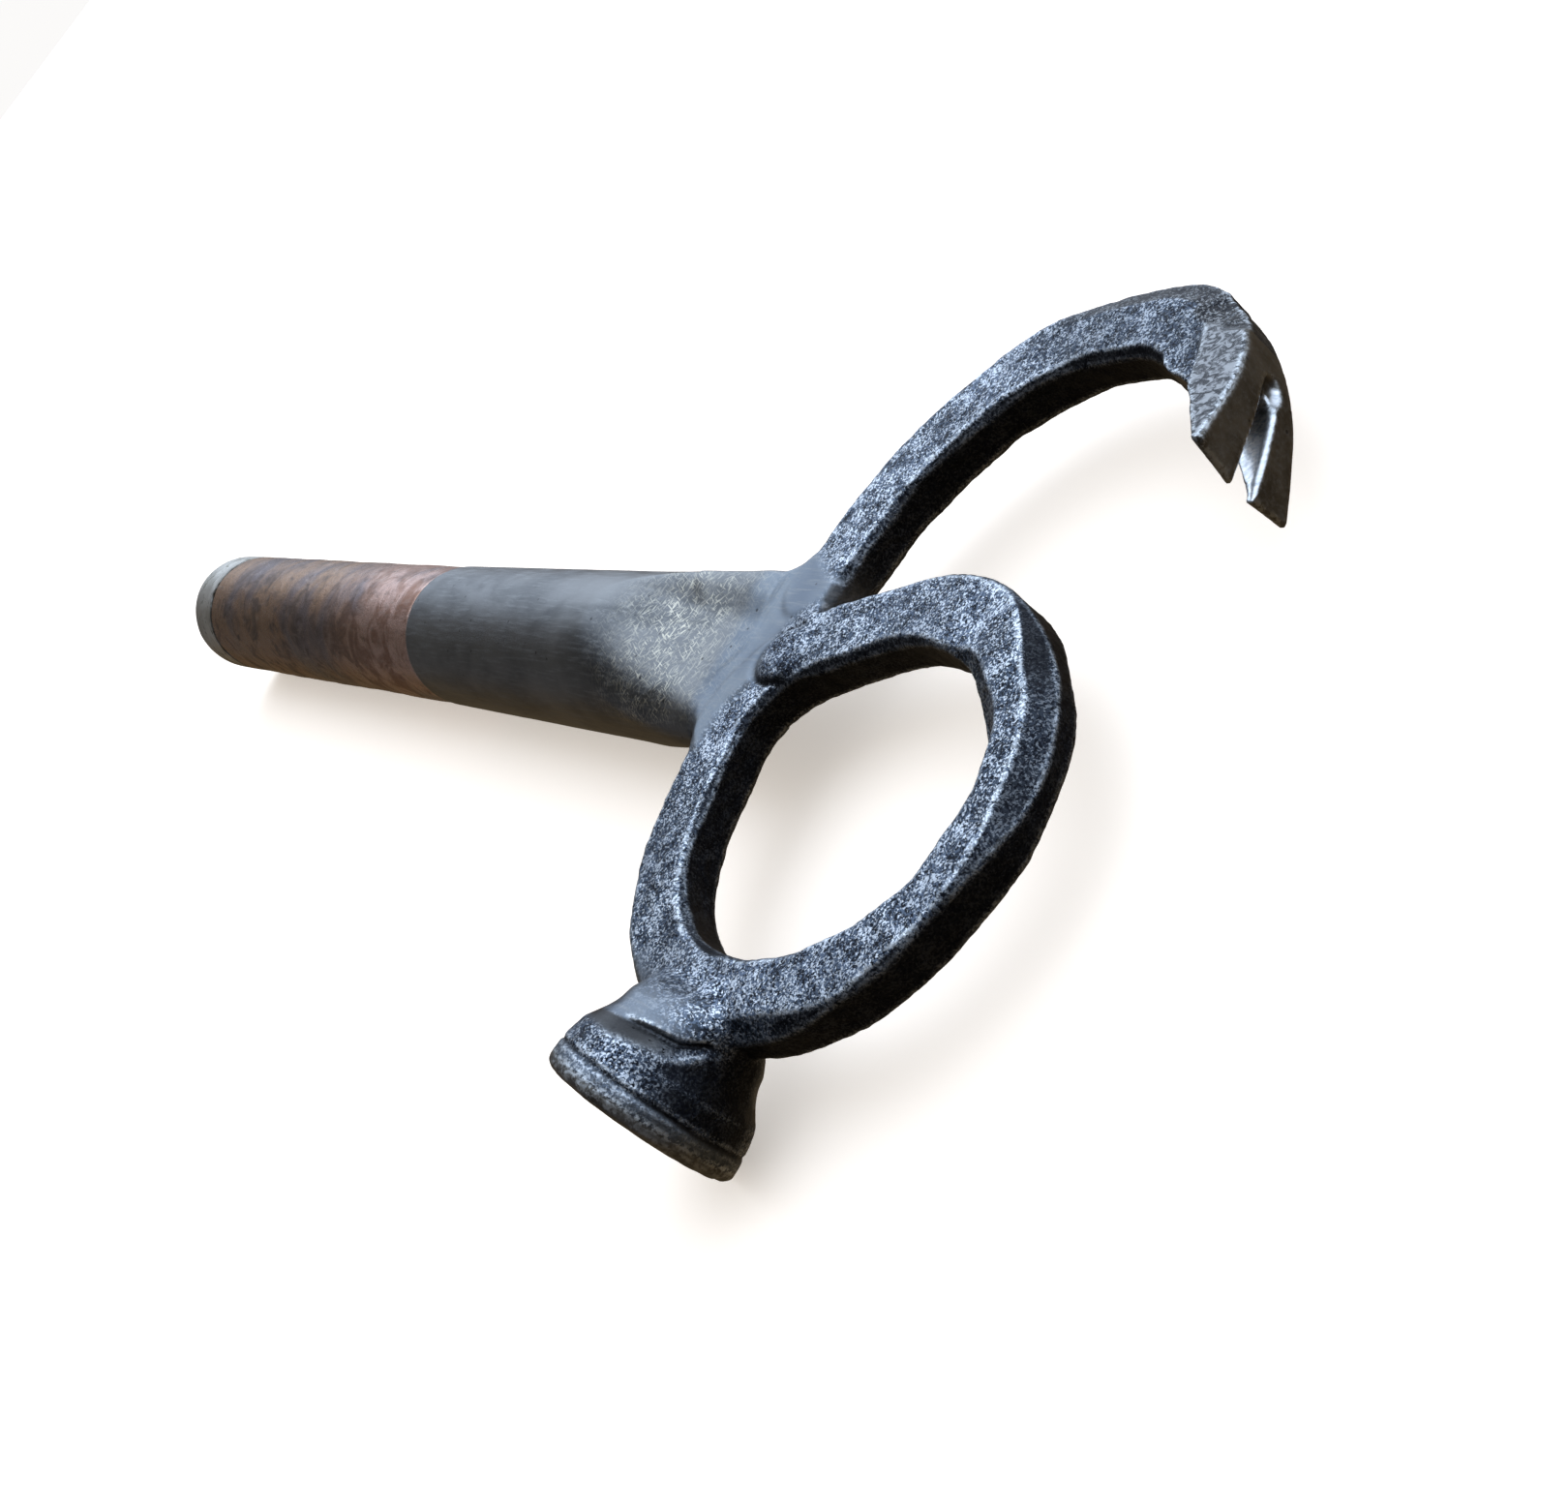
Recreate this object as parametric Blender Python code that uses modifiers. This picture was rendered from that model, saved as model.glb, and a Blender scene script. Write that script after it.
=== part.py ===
"""Forged claw hammer with an open ring head, a copper-sleeved tube handle and a forked nail claw.

Metres, +Z up. The hammer lies on its side: its flat layout is in the XY plane, the handle runs along X
with the head at +X, the claw points to +Y and the striking face to -Y.
Everything is laid out from the head joint, the point on the handle's axis where the ring begins, and
the whole layout is then shifted so that the origin is at the bottom centre of the object's box.
"""

from math import atan2, cos, pi, radians, sin

import bmesh
import bpy
from mathutils import Vector

MM = 0.001
GAP = 0.3 * MM
MERGE_DISTANCE = 0.01 * MM

# Place of the head joint in the finished frame
HEAD_JOINT = Vector((116.5, 2.9, 16.6)) * MM

# Handle: tube, sleeve and cap, all on the X axis
HANDLE_R = 15.3 * MM
HANDLE_HEAD_R = 16.0 * MM
HANDLE_END_R = 16.6 * MM
HANDLE_HEAD_X = -12.0 * MM
FLARE_X = -45.0 * MM
FLARE_STEPS = 3
SLEEVE_X = -134.0 * MM
CAP_X = -295.0 * MM
HANDLE_END_X = -315.0 * MM
SLEEVE_WALL = 1.5 * MM
BORE_R = 10.0 * MM
BORE_HEAD_X = -60.0 * MM
CAP_RIM = 3.0 * MM
CAP_RIM_STEPS = 5
CAP_SPIGOT = 9.0 * MM
CAP_SPIGOT_CLEARANCE = 0.4 * MM
TURNED_STEPS = 64

# Scoop that thins the handle's head end to the thickness of the weld
SCOOP_START_X = -38.0 * MM
WELD_HALF_T = 4.3 * MM
SCOOP_STEPS = 10
SCOOP_REACH = 30.0 * MM
SCOOP_ABOVE = 10.0 * MM
SCOOP_HALF_SPAN = 25.0 * MM

# Bars of the head
BAR_HALF_T = 4.0 * MM
RING_HALF_W = 6.1 * MM
RING_CHAMFER = 0.8 * MM
RING_INNER_CHAMFER = 1.0 * MM
ARM_HALF_W = 6.6 * MM
ARM_CHAMFER = 1.2 * MM
BAR_RESOLUTION = 6
BAR_CUTTER_HALF_T = 25.0 * MM

# Centrelines in the XY plane, in millimetres
RING_PATH = [(0, -6), (0, -23), (6, -38.5), (17, -48.8), (30.5, -52.6), (47, -50.8), (60.2, -42.7),
             (68.5, -28), (69.6, -12), (62.4, 0.2), (46.2, 10.2), (20, 7)]
ARM_PATH = [(1.6, 14.8), (6, 34), (13.3, 45.7), (22.5, 55), (34, 60.2), (45.5, 61.8), (53, 61.6),
            (58.6, 59.6)]

# Outline of the weld in the corner between handle, ring and arm, in millimetres
WELD_OUTLINE = [(-11.7, -15.6), (-11.7, 15.7), (-8, 16.6), (-5.4, 18), (-1.5, 20),
                (4, 16), (7.6, 14.6), (7.3, 11), (8.6, 8), (3, -1), (-3, -9), (-4.4, -17.4), (-6.8, -17.4)]
WELD_BLANK_HALF_T = 20.0 * MM

# Poll: the axis leaves the ring downwards, and distances are measured back from the striking face
FACE_CENTRE = Vector((31.2, -72.7, 0.0)) * MM
POLL_AXIS_ANGLE = radians(-97.3)
FACE_R = 15.3 * MM
FACE_PLATE = 4.3 * MM
FACE_RIM = 0.8 * MM
FACE_RIM_STEPS = 3
FACE_BACK_CHAMFER = 0.4 * MM
POLL_SEGMENTS = 40

# Poll sections in millimetres: distance back, half-width across and up, power of the superellipse
BELL_SECTIONS = [(4.6, 14.9, 14.9, 2), (6.5, 14.9, 14.9, 2), (8.2, 14.3, 14.2, 2), (9.7, 13.4, 13.3, 2.1),
                 (10.7, 12.7, 12.5, 2.1)]
NECK_SECTIONS = [(11.0, 12.6, 12.4, 2.1), (13.0, 12.0, 11.3, 2.2), (15.0, 11.7, 10.4, 2.3),
                 (17.5, 11.2, 8.2, 2.5), (20.0, 9.4, 5.4, 2.8), (21.5, 8.8, 4.7, 3)]

# Claw stations, in millimetres: outer edge x and y, outward angle in degrees, thickness, half-width
CLAW_STATIONS = [(61.0, 65.4, 70.4, 12.6, 4.0), (68.3, 60.2, 46, 12.6, 4.0), (73.3, 55.0, 37, 10.5, 4.4),
                 (76.6, 50.0, 28, 8.2, 5.8), (78.6, 46.0, 23, 7.0, 7.1), (80.3, 40.8, 18, 4.8, 8.5),
                 (81.3, 37.2, 17, 2.9, 9.4), (82.1, 34.0, 17, 1.2, 9.8)]
CLAW_CHAMFER_SHARE = 0.12
SLOT_TOP = Vector((75.5, 47.6, 0.0)) * MM
SLOT_ANGLE = radians(-71.0)
SLOT_TOP_HALF_W = 1.3 * MM
SLOT_TIP_HALF_W = 2.1 * MM
SLOT_LENGTH = 18.0 * MM
SLOT_ARC_STEPS = 8
SLOT_CUTTER_HALF_T = 12.0 * MM
SHARP_ANGLE = radians(35.0)


def clear_scene():
    for obj in list(bpy.data.objects):
        bpy.data.objects.remove(obj, do_unlink=True)


def new_collection(name):
    collection = bpy.data.collections.new(name)
    bpy.context.scene.collection.children.link(collection)
    return collection


def metal(name, colour, roughness):
    material = bpy.data.materials.new(name)
    material.use_nodes = True
    shader = material.node_tree.nodes["Principled BSDF"]
    shader.inputs["Base Color"].default_value = (*colour, 1.0)
    shader.inputs["Roughness"].default_value = roughness
    shader.inputs["Metallic"].default_value = 1.0
    return material


def add_object(name, data, collection, material=None):
    obj = bpy.data.objects.new(name, data)
    collection.objects.link(obj)
    obj.parent = root
    if material:
        data.materials.append(material)
    return obj


def add_cutter(name, data):
    cutter = add_object(name, data, cutters)
    cutter.hide_render = True
    cutter.display_type = "WIRE"
    return cutter


def cut(obj, cutter):
    modifier = obj.modifiers.new(f"cut {cutter.name}", "BOOLEAN")
    modifier.operation = "DIFFERENCE"
    modifier.solver = "EXACT"
    modifier.object = cutter


def evaluated_mesh(obj, name):
    """The mesh that a curve makes, with its caps welded to its sides."""
    bpy.context.view_layer.update()
    depsgraph = bpy.context.evaluated_depsgraph_get()
    mesh = bpy.data.meshes.new_from_object(obj.evaluated_get(depsgraph))
    mesh.name = name
    bm = bmesh.new()
    bm.from_mesh(mesh)
    bmesh.ops.remove_doubles(bm, verts=bm.verts, dist=MERGE_DISTANCE)
    bmesh.ops.recalc_face_normals(bm, faces=bm.faces)
    bm.to_mesh(mesh)
    bm.free()
    return mesh


def shade_round(mesh):
    mesh.shade_smooth()
    mesh.set_sharp_from_angle(angle=SHARP_ANGLE)


def turned(name, profile, collection, material, closed=False):
    """A solid turned about its local Z axis from (radius, height) points, from the top down."""
    mesh = bpy.data.meshes.new(name)
    edges = [(i, i + 1) for i in range(len(profile) - 1)]
    if closed:
        edges.append((len(profile) - 1, 0))
    mesh.from_pydata([(radius, 0.0, height) for radius, height in profile], edges, [])
    obj = add_object(name, mesh, collection, material)
    screw = obj.modifiers.new("turn", "SCREW")
    screw.axis = "Z"
    screw.steps = TURNED_STEPS
    screw.render_steps = TURNED_STEPS
    screw.use_merge_vertices = True
    screw.merge_threshold = MERGE_DISTANCE
    screw.use_smooth_shade = True
    return obj


def arc_points(centre, radius, start, end, steps):
    """Points along an arc in a plane, from one angle to another."""
    angles = [start + (end - start) * i / steps for i in range(steps + 1)]
    return [(centre[0] + radius * cos(a), centre[1] + radius * sin(a)) for a in angles]


def flat_outline(name, points, half_thickness):
    """A mesh made from a closed outline in the XY plane, extruded both ways along Z."""
    curve = bpy.data.curves.new(name, "CURVE")
    curve.dimensions = "2D"
    curve.fill_mode = "BOTH"
    curve.extrude = half_thickness
    spline = curve.splines.new("POLY")
    spline.points.add(len(points) - 1)
    for point, (x, y) in zip(spline.points, points):
        point.co = (x, y, 0.0, 1.0)
    spline.use_cyclic_u = True
    guide = add_object(name, curve, cutters)
    mesh = evaluated_mesh(guide, name)
    bpy.data.objects.remove(guide, do_unlink=True)
    return mesh


def bar_section(half_w, half_t, chamfer, inner_chamfer):
    """Closed octagonal section of a forged bar; the second chamfer is on the two left-hand corners."""
    c, i = chamfer, inner_chamfer
    points = [(half_w, half_t - c), (half_w - c, half_t), (i - half_w, half_t), (-half_w, half_t - i),
              (-half_w, i - half_t), (i - half_w, -half_t), (half_w - c, -half_t), (half_w, c - half_t)]
    curve = bpy.data.curves.new("section", "CURVE")
    curve.dimensions = "2D"
    spline = curve.splines.new("POLY")
    spline.points.add(len(points) - 1)
    for point, (x, y) in zip(spline.points, points):
        point.co = (x, y, 0.0, 1.0)
    spline.use_cyclic_u = True
    return add_object("section", curve, cutters)


def bent_bar(name, path, closed, half_w, half_t, chamfer, inner_chamfer):
    """A mesh of a bar bent along a smooth curve in the XY plane."""
    section = bar_section(half_w, half_t, chamfer, inner_chamfer)
    curve = bpy.data.curves.new(name, "CURVE")
    curve.dimensions = "3D"
    curve.twist_mode = "Z_UP"
    curve.resolution_u = BAR_RESOLUTION
    curve.bevel_mode = "OBJECT"
    curve.bevel_object = section
    curve.use_fill_caps = True
    spline = curve.splines.new("BEZIER")
    spline.bezier_points.add(len(path) - 1)
    for point, (x, y) in zip(spline.bezier_points, path):
        point.co = Vector((x, y, 0.0)) * MM
        point.handle_left_type = "AUTO"
        point.handle_right_type = "AUTO"
    spline.use_cyclic_u = closed
    guide = add_object(name, curve, cutters)
    mesh = evaluated_mesh(guide, name)
    bpy.data.objects.remove(guide, do_unlink=True)
    bpy.data.objects.remove(section, do_unlink=True)
    return mesh


def loft(name, sections):
    """A mesh through closed sections with the same number of points each, capped at both ends."""
    bm = bmesh.new()
    rings = [[bm.verts.new(point) for point in section] for section in sections]
    count = len(rings[0])
    for ring, following in zip(rings, rings[1:]):
        for i in range(count):
            j = (i + 1) % count
            bm.faces.new((ring[i], ring[j], following[j], following[i]))
    bm.faces.new(rings[0])
    bm.faces.new(rings[-1])
    bmesh.ops.recalc_face_normals(bm, faces=bm.faces)
    mesh = bpy.data.meshes.new(name)
    bm.to_mesh(mesh)
    bm.free()
    return mesh


def make_handle():
    """Tube with a blind bore from the far end, reduced under the sleeve and flared at the head."""
    spigot_r = HANDLE_R - SLEEVE_WALL - GAP
    profile = [(0.0, HANDLE_HEAD_X), (HANDLE_HEAD_R, HANDLE_HEAD_X)]
    flare_run = HANDLE_HEAD_X - FLARE_X
    for step in reversed(range(FLARE_STEPS)):
        share = step / FLARE_STEPS
        profile.append((HANDLE_R + (HANDLE_HEAD_R - HANDLE_R) * share ** 2, FLARE_X + flare_run * share))
    profile += [(HANDLE_R, SLEEVE_X), (spigot_r, SLEEVE_X), (spigot_r, CAP_X + GAP), (BORE_R, CAP_X + GAP),
                (BORE_R, BORE_HEAD_X), (0.0, BORE_HEAD_X + BORE_R / 2)]
    handle = turned("handle_tube", profile, parts, metal("dark ground steel", (0.10, 0.10, 0.09), 0.42))
    handle.rotation_euler = (0.0, pi / 2, 0.0)
    return handle


def make_sleeve():
    inner_r = HANDLE_R - SLEEVE_WALL
    top, bottom = SLEEVE_X - GAP, CAP_X + GAP
    profile = [(inner_r, top), (HANDLE_R, top), (HANDLE_END_R, bottom), (inner_r, bottom)]
    copper = metal("aged copper", (0.36, 0.18, 0.12), 0.38)
    sleeve = turned("copper_sleeve", profile, parts, copper, closed=True)
    sleeve.rotation_euler = (0.0, pi / 2, 0.0)


def make_cap():
    spigot_r = BORE_R - CAP_SPIGOT_CLEARANCE
    corner = (HANDLE_END_R - CAP_RIM, HANDLE_END_X + CAP_RIM)
    spigot_x = CAP_X + CAP_SPIGOT
    profile = [(0.0, spigot_x), (spigot_r, spigot_x), (spigot_r, CAP_X), (HANDLE_END_R, CAP_X)]
    profile += arc_points(corner, CAP_RIM, 0.0, -pi / 2, CAP_RIM_STEPS)
    profile.append((0.0, HANDLE_END_X))
    cap = turned("end_cap", profile, parts, metal("worn steel", (0.30, 0.31, 0.30), 0.35))
    cap.rotation_euler = (0.0, pi / 2, 0.0)


def scoop_cutter(side):
    """Concave cutter over (or under) the handle's head end: an arc that runs out level at the joint."""
    depth = HANDLE_R - WELD_HALF_T
    radius = (SCOOP_START_X ** 2 + depth ** 2) / (2 * depth)
    sweep = atan2(-SCOOP_START_X, radius - depth)
    arc = arc_points((0.0, WELD_HALF_T + radius), radius, -pi / 2 - sweep, -pi / 2, SCOOP_STEPS)
    outline = [(SCOOP_START_X - SCOOP_ABOVE, HANDLE_R + SCOOP_ABOVE)] + arc
    outline += [(SCOOP_REACH, WELD_HALF_T), (SCOOP_REACH, HANDLE_R + SCOOP_ABOVE)]
    name = "scoop_top" if side > 0 else "scoop_bottom"
    cutter = add_cutter(name, flat_outline(name, outline, SCOOP_HALF_SPAN))
    cutter.rotation_euler = (side * pi / 2, 0.0, 0.0)
    return cutter


def make_junction(handle):
    """Weld metal that fills the corner, shaped by the same scoops as the handle."""
    outline = [(x * MM, y * MM) for x, y in WELD_OUTLINE]
    mesh = flat_outline("junction_weld", outline, WELD_BLANK_HALF_T)
    weld = add_object("junction_weld", mesh, parts, metal("ground weld", (0.20, 0.22, 0.24), 0.4))
    for side in (1, -1):
        scoop = scoop_cutter(side)
        cut(handle, scoop)
        cut(weld, scoop)
    ring_space = bent_bar("ring_space", RING_PATH, True, RING_HALF_W + GAP, BAR_CUTTER_HALF_T, RING_CHAMFER,
                          RING_CHAMFER)
    arm_space = bent_bar("arm_space", ARM_PATH, False, ARM_HALF_W + GAP, BAR_CUTTER_HALF_T, ARM_CHAMFER,
                         ARM_CHAMFER)
    cut(weld, add_cutter("ring_space", ring_space))
    arm_cutter = add_cutter("arm_space", arm_space)
    arm_cutter.location.y = -GAP
    cut(weld, arm_cutter)


def make_ring():
    mesh = bent_bar("ring_bar", RING_PATH, True, RING_HALF_W, BAR_HALF_T, RING_CHAMFER, RING_INNER_CHAMFER)
    add_object("ring_bar", mesh, parts, metal("forge scale ring", (0.07, 0.08, 0.10), 0.5))


def make_arm():
    mesh = bent_bar("claw_arm", ARM_PATH, False, ARM_HALF_W, BAR_HALF_T, ARM_CHAMFER, ARM_CHAMFER)
    add_object("claw_arm", mesh, parts, metal("forge scale arm", (0.07, 0.08, 0.10), 0.5))


def claw_section(x, y, angle, thickness, half_w):
    """Chamfered rectangle across the claw, measured inwards from the outer edge point."""
    outward = Vector((cos(radians(angle)), sin(radians(angle)), 0.0))
    chamfer = CLAW_CHAMFER_SHARE * thickness
    corners = [(0.0, half_w - chamfer), (chamfer, half_w)]
    corners += [(thickness - chamfer, half_w), (thickness, half_w - chamfer)]
    corners += [(depth, -across) for depth, across in reversed(corners)]
    edge = Vector((x, y, 0.0))
    return [(edge - outward * depth + Vector((0.0, 0.0, across))) * MM for depth, across in corners]


def make_claw():
    mesh = loft("nail_claw", [claw_section(*station) for station in CLAW_STATIONS])
    claw = add_object("nail_claw", mesh, parts, metal("ground claw steel", (0.10, 0.09, 0.08), 0.35))
    outline = arc_points((0.0, 0.0), SLOT_TOP_HALF_W, pi / 2, 3 * pi / 2, SLOT_ARC_STEPS)
    outline += [(SLOT_LENGTH, -SLOT_TIP_HALF_W), (SLOT_LENGTH, SLOT_TIP_HALF_W)]
    slot = add_cutter("claw_slot", flat_outline("claw_slot", outline, SLOT_CUTTER_HALF_T))
    slot.location = SLOT_TOP
    slot.rotation_euler = (pi / 2, 0.0, SLOT_ANGLE)
    cut(claw, slot)


def poll_section(back, half_x, half_z, power):
    """Superellipse across the poll, all in millimetres, at a distance back from the striking face."""
    axis = Vector((cos(POLL_AXIS_ANGLE), sin(POLL_AXIS_ANGLE), 0.0))
    across = Vector((-axis.y, axis.x, 0.0))
    centre = FACE_CENTRE - axis * back * MM
    points = []
    for i in range(POLL_SEGMENTS):
        angle = 2 * pi * i / POLL_SEGMENTS
        c, s = cos(angle), sin(angle)
        u = half_x * abs(c) ** (2 / power) * (1 if c >= 0 else -1)
        v = half_z * abs(s) ** (2 / power) * (1 if s >= 0 else -1)
        points.append(centre + (across * u + Vector((0.0, 0.0, v))) * MM)
    return points


def make_poll():
    face_profile = [(0.0, 0.0), (FACE_R - FACE_RIM, 0.0)]
    face_profile += arc_points((FACE_R - FACE_RIM, -FACE_RIM), FACE_RIM, pi / 2, 0.0, FACE_RIM_STEPS)[1:]
    face_profile += [(FACE_R, FACE_BACK_CHAMFER - FACE_PLATE), (FACE_R - FACE_BACK_CHAMFER, -FACE_PLATE)]
    face_profile.append((0.0, -FACE_PLATE))
    face = turned("striking_face", face_profile, parts, metal("worn face steel", (0.17, 0.15, 0.13), 0.4))
    face.location = FACE_CENTRE
    face.rotation_euler = (0.0, pi / 2, POLL_AXIS_ANGLE)

    body = loft("poll_body", [poll_section(*section) for section in BELL_SECTIONS])
    shade_round(body)
    add_object("poll_body", body, parts, metal("forge scale poll", (0.09, 0.10, 0.12), 0.45))
    wrap = loft("poll_weld", [poll_section(*section) for section in NECK_SECTIONS])
    shade_round(wrap)
    weld = add_object("poll_weld", wrap, parts, metal("smooth poll weld", (0.16, 0.18, 0.21), 0.4))
    ring_gap = bent_bar("ring_gap", RING_PATH, True, RING_HALF_W + GAP, BAR_HALF_T + GAP, RING_CHAMFER,
                        RING_INNER_CHAMFER)
    cut(weld, add_cutter("ring_gap", ring_gap))


clear_scene()
parts = new_collection("ring_head_claw_hammer")
cutters = new_collection("cutters")
root = bpy.data.objects.new("head_joint", None)
parts.objects.link(root)
root.location = HEAD_JOINT

handle_tube = make_handle()
make_sleeve()
make_cap()
make_junction(handle_tube)
make_ring()
make_arm()
make_claw()
make_poll()
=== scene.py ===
# Looks of the forged claw hammer with a ring head.
#
# The head and the handle tube were welded and ground into one flowing surface, so they are one distance
# field, which is then divided into the frame's pieces along the joints. The field is in millimetres in
# the head frame: its origin is the point on the handle's axis where the ring begins, X runs along the
# handle towards the head, and Z is up.

from math import cos, pi, radians, sin

import bpy
import numpy as np
from mathutils import Matrix, Vector


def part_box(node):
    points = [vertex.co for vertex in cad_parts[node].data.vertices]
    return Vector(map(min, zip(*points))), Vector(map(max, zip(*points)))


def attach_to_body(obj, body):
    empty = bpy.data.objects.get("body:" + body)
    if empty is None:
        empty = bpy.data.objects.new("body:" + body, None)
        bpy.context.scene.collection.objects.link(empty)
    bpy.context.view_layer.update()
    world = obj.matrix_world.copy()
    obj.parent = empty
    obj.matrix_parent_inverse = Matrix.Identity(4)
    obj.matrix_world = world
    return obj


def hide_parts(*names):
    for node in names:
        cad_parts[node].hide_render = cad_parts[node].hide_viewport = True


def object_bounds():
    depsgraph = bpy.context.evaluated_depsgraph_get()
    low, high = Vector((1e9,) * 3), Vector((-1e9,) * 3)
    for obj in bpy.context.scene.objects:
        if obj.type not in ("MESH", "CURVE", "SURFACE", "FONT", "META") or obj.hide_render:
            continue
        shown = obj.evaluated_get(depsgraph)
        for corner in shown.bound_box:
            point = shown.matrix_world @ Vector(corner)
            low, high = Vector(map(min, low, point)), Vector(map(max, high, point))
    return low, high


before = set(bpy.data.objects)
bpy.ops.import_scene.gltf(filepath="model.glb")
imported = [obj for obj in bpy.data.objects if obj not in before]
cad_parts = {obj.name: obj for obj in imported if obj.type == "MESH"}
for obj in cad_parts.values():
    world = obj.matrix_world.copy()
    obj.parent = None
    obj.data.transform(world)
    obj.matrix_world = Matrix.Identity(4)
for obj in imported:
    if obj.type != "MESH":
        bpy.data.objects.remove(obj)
cad_low, cad_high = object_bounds()

MM = 0.001
HANDLE_END_TO_JOINT = 12.0
handle_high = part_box("handle_tube")[1]
sleeve_low, sleeve_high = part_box("copper_sleeve")
cap_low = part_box("end_cap")[0]
JOINT = Vector((handle_high.x + HANDLE_END_TO_JOINT * MM, (sleeve_low.y + sleeve_high.y) / 2,
                (sleeve_low.z + sleeve_high.z) / 2))


def head_x(world_x):
    """A world X in millimetres of the head frame."""
    return (world_x - JOINT.x) / MM


# Handle, with its sleeve and cap: radii, and places along X
GAP = 0.3
HANDLE_R = 15.3
HANDLE_HEAD_R = 16.0
HANDLE_HEAD_X = -HANDLE_END_TO_JOINT
FLARE_X = -45.0
SLEEVE_HEAD_X = head_x(sleeve_high.x)
SLEEVE_END_X = head_x(sleeve_low.x)
SLEEVE_END_R = (sleeve_high.z - sleeve_low.z) / 2 / MM
SLEEVE_WALL = 1.5
CAP_HEAD_X = SLEEVE_END_X - GAP
CAP_END_X = head_x(cap_low.x)
CAP_RIM = 3.0
CAP_CENTRE_R = 0.05

# How far the turned skins sink, so that their dents stay inside the frame's outline
SLEEVE_SINK = 0.20
CAP_SINK = 0.18

# Scoops over and under the handle's head end, which are shallower along the flank towards the arm
SCOOP_START_X = -38.0
WELD_HALF_T = 4.3
FLANK_RISE = 1.2

# Bars of the head: points of their centrelines in the XY plane
BAR_HALF_T = 4.0
RING_HALF_W = 6.1
ARM_HALF_W = 6.6
RING_PATH = [(0, -6), (0, -23), (6, -38.5), (17, -48.8), (30.5, -52.6), (47, -50.8), (60.2, -42.7),
             (68.5, -28), (69.6, -12), (62.4, 0.2), (46.2, 10.2), (20, 7)]
ARM_PATH = [(1.6, 14.8), (6, 34), (13.3, 45.7), (22.5, 55), (34, 60.2), (45.5, 61.8), (53, 61.6),
            (58.6, 59.6)]
RING_INNER_CHAMFER = 1.1
RING_OUTER_CHAMFER = 1.0
ARM_CHAMFER = 1.2

# Outline of the weld in the corner between handle, ring and arm
WELD_OUTLINE = [(-11.7, -15.6), (-26, -12.5), (-26, 12.5), (-11.7, 15.7), (-8, 16.6), (-5.4, 18), (-1.5, 20),
                (4, 16), (7.6, 14.6), (7.3, 11), (8.6, 8), (3, -1), (-3, -9), (-4.4, -17.4), (-6.8, -17.4)]

# Poll: its axis leaves the ring downwards, and distances run back from the striking face
FACE_CENTRE = (31.2, -72.7)
POLL_ANGLE = radians(-97.3)
FACE_R = 15.3
FACE_PLATE = 4.3
FOLD_AT = 11.0
POLL_END = 23.0
POLL_REACH = 20.0

# Poll stations: distance back, and half-widths across and up
POLL_STATIONS = [(0, 15.3, 15.3), (4.3, 15.2, 15.2), (5.5, 14.9, 14.9), (8.2, 14.3, 14.2), (9.7, 13.4, 13.3),
                 (11, 12.7, 12.4), (13, 12.0, 11.3), (15, 11.7, 10.4), (17.5, 11.2, 8.2), (20, 9.4, 5.4),
                 (21.5, 8.8, 4.7), (24, 8.0, 4.0)]
POLL_BACK, POLL_HALF_X, POLL_HALF_Z = zip(*POLL_STATIONS)

# Claw stations down its outer edge: x, y, and the thickness inwards
CLAW_STATIONS = [(61.0, 65.4, 12.6), (68.3, 60.2, 12.6), (73.3, 55.0, 10.5), (76.6, 50.0, 8.2),
                 (78.6, 46.0, 7.0), (80.3, 40.8, 4.8), (81.3, 37.2, 2.9), (82.1, 34.0, 1.2)]
CLAW_EDGE = [(x, y) for x, y, thickness in CLAW_STATIONS]
CLAW_THICKNESS = [thickness for x, y, thickness in CLAW_STATIONS]
CLAW_ROOT_ANGLE = radians(70.4)
CLAW_ROOT_HALF_W = 3.95
CLAW_TIP_HALF_W = 9.8

# Least X and Y of the claw, with some room
CLAW_LEAST_X = 55.0
CLAW_LEAST_Y = 28.0

# Slot that forks the claw
SLOT_TOP = (75.5, 47.6)
SLOT_ANGLE = radians(-71.0)
SLOT_TOP_HALF_W = 1.3
SLOT_TIP_HALF_W = 1.9
SLOT_LENGTH = 15.0
SLOT_OFFSET = 0.3

# The claw's side facets rise from a line across it, starting at the edge of the arm's flat
FACET_START = (62.5, 58.8)
FACET_TOP_ANGLE = radians(-9.6)
FACET_EDGE_ANGLE = radians(-61.0)
FACET_SLOPE = 0.275

# Pieces cut from the shared surface
HANDLE, JUNCTION, RING, ARM, POLL_WELD, POLL_BODY, FACE, CLAW = range(1, 9)
PIECES = {HANDLE: ("handle_tube", "handle_steel"), JUNCTION: ("junction_weld", "weld_steel"),
          RING: ("ring_bar", "forge_scale"), ARM: ("claw_arm", "forge_scale"),
          POLL_WELD: ("poll_weld", "weld_steel"), POLL_BODY: ("poll_body", "forge_scale"),
          FACE: ("striking_face", "face_steel"), CLAW: ("nail_claw", "claw_steel")}

# Shares from 0 to 1 that the finishes give and the steel material reads
STEEL_SHARES = ("grit", "warm", "hatch", "painted_sheen", "bright", "facet", "wear_and_painted_highlight", "painted_shade_and_darkening")

# Grid that samples the shared surface, and the batch in which places are looked up along a curve
GRID_STEP = 0.45
GRID_LOW = (SLEEVE_HEAD_X - 1.5, -76.0, -17.4)
GRID_HIGH = (84.5, 71.5, 17.4)
BATCH = 20000

# Noise comes from a table of random values, where each cell's place is a hash
NOISE_SIZE = 4096
NOISE_PRIMES = (73856093, 19349663, 83492791)
DIAGONAL = 0.7071

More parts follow.
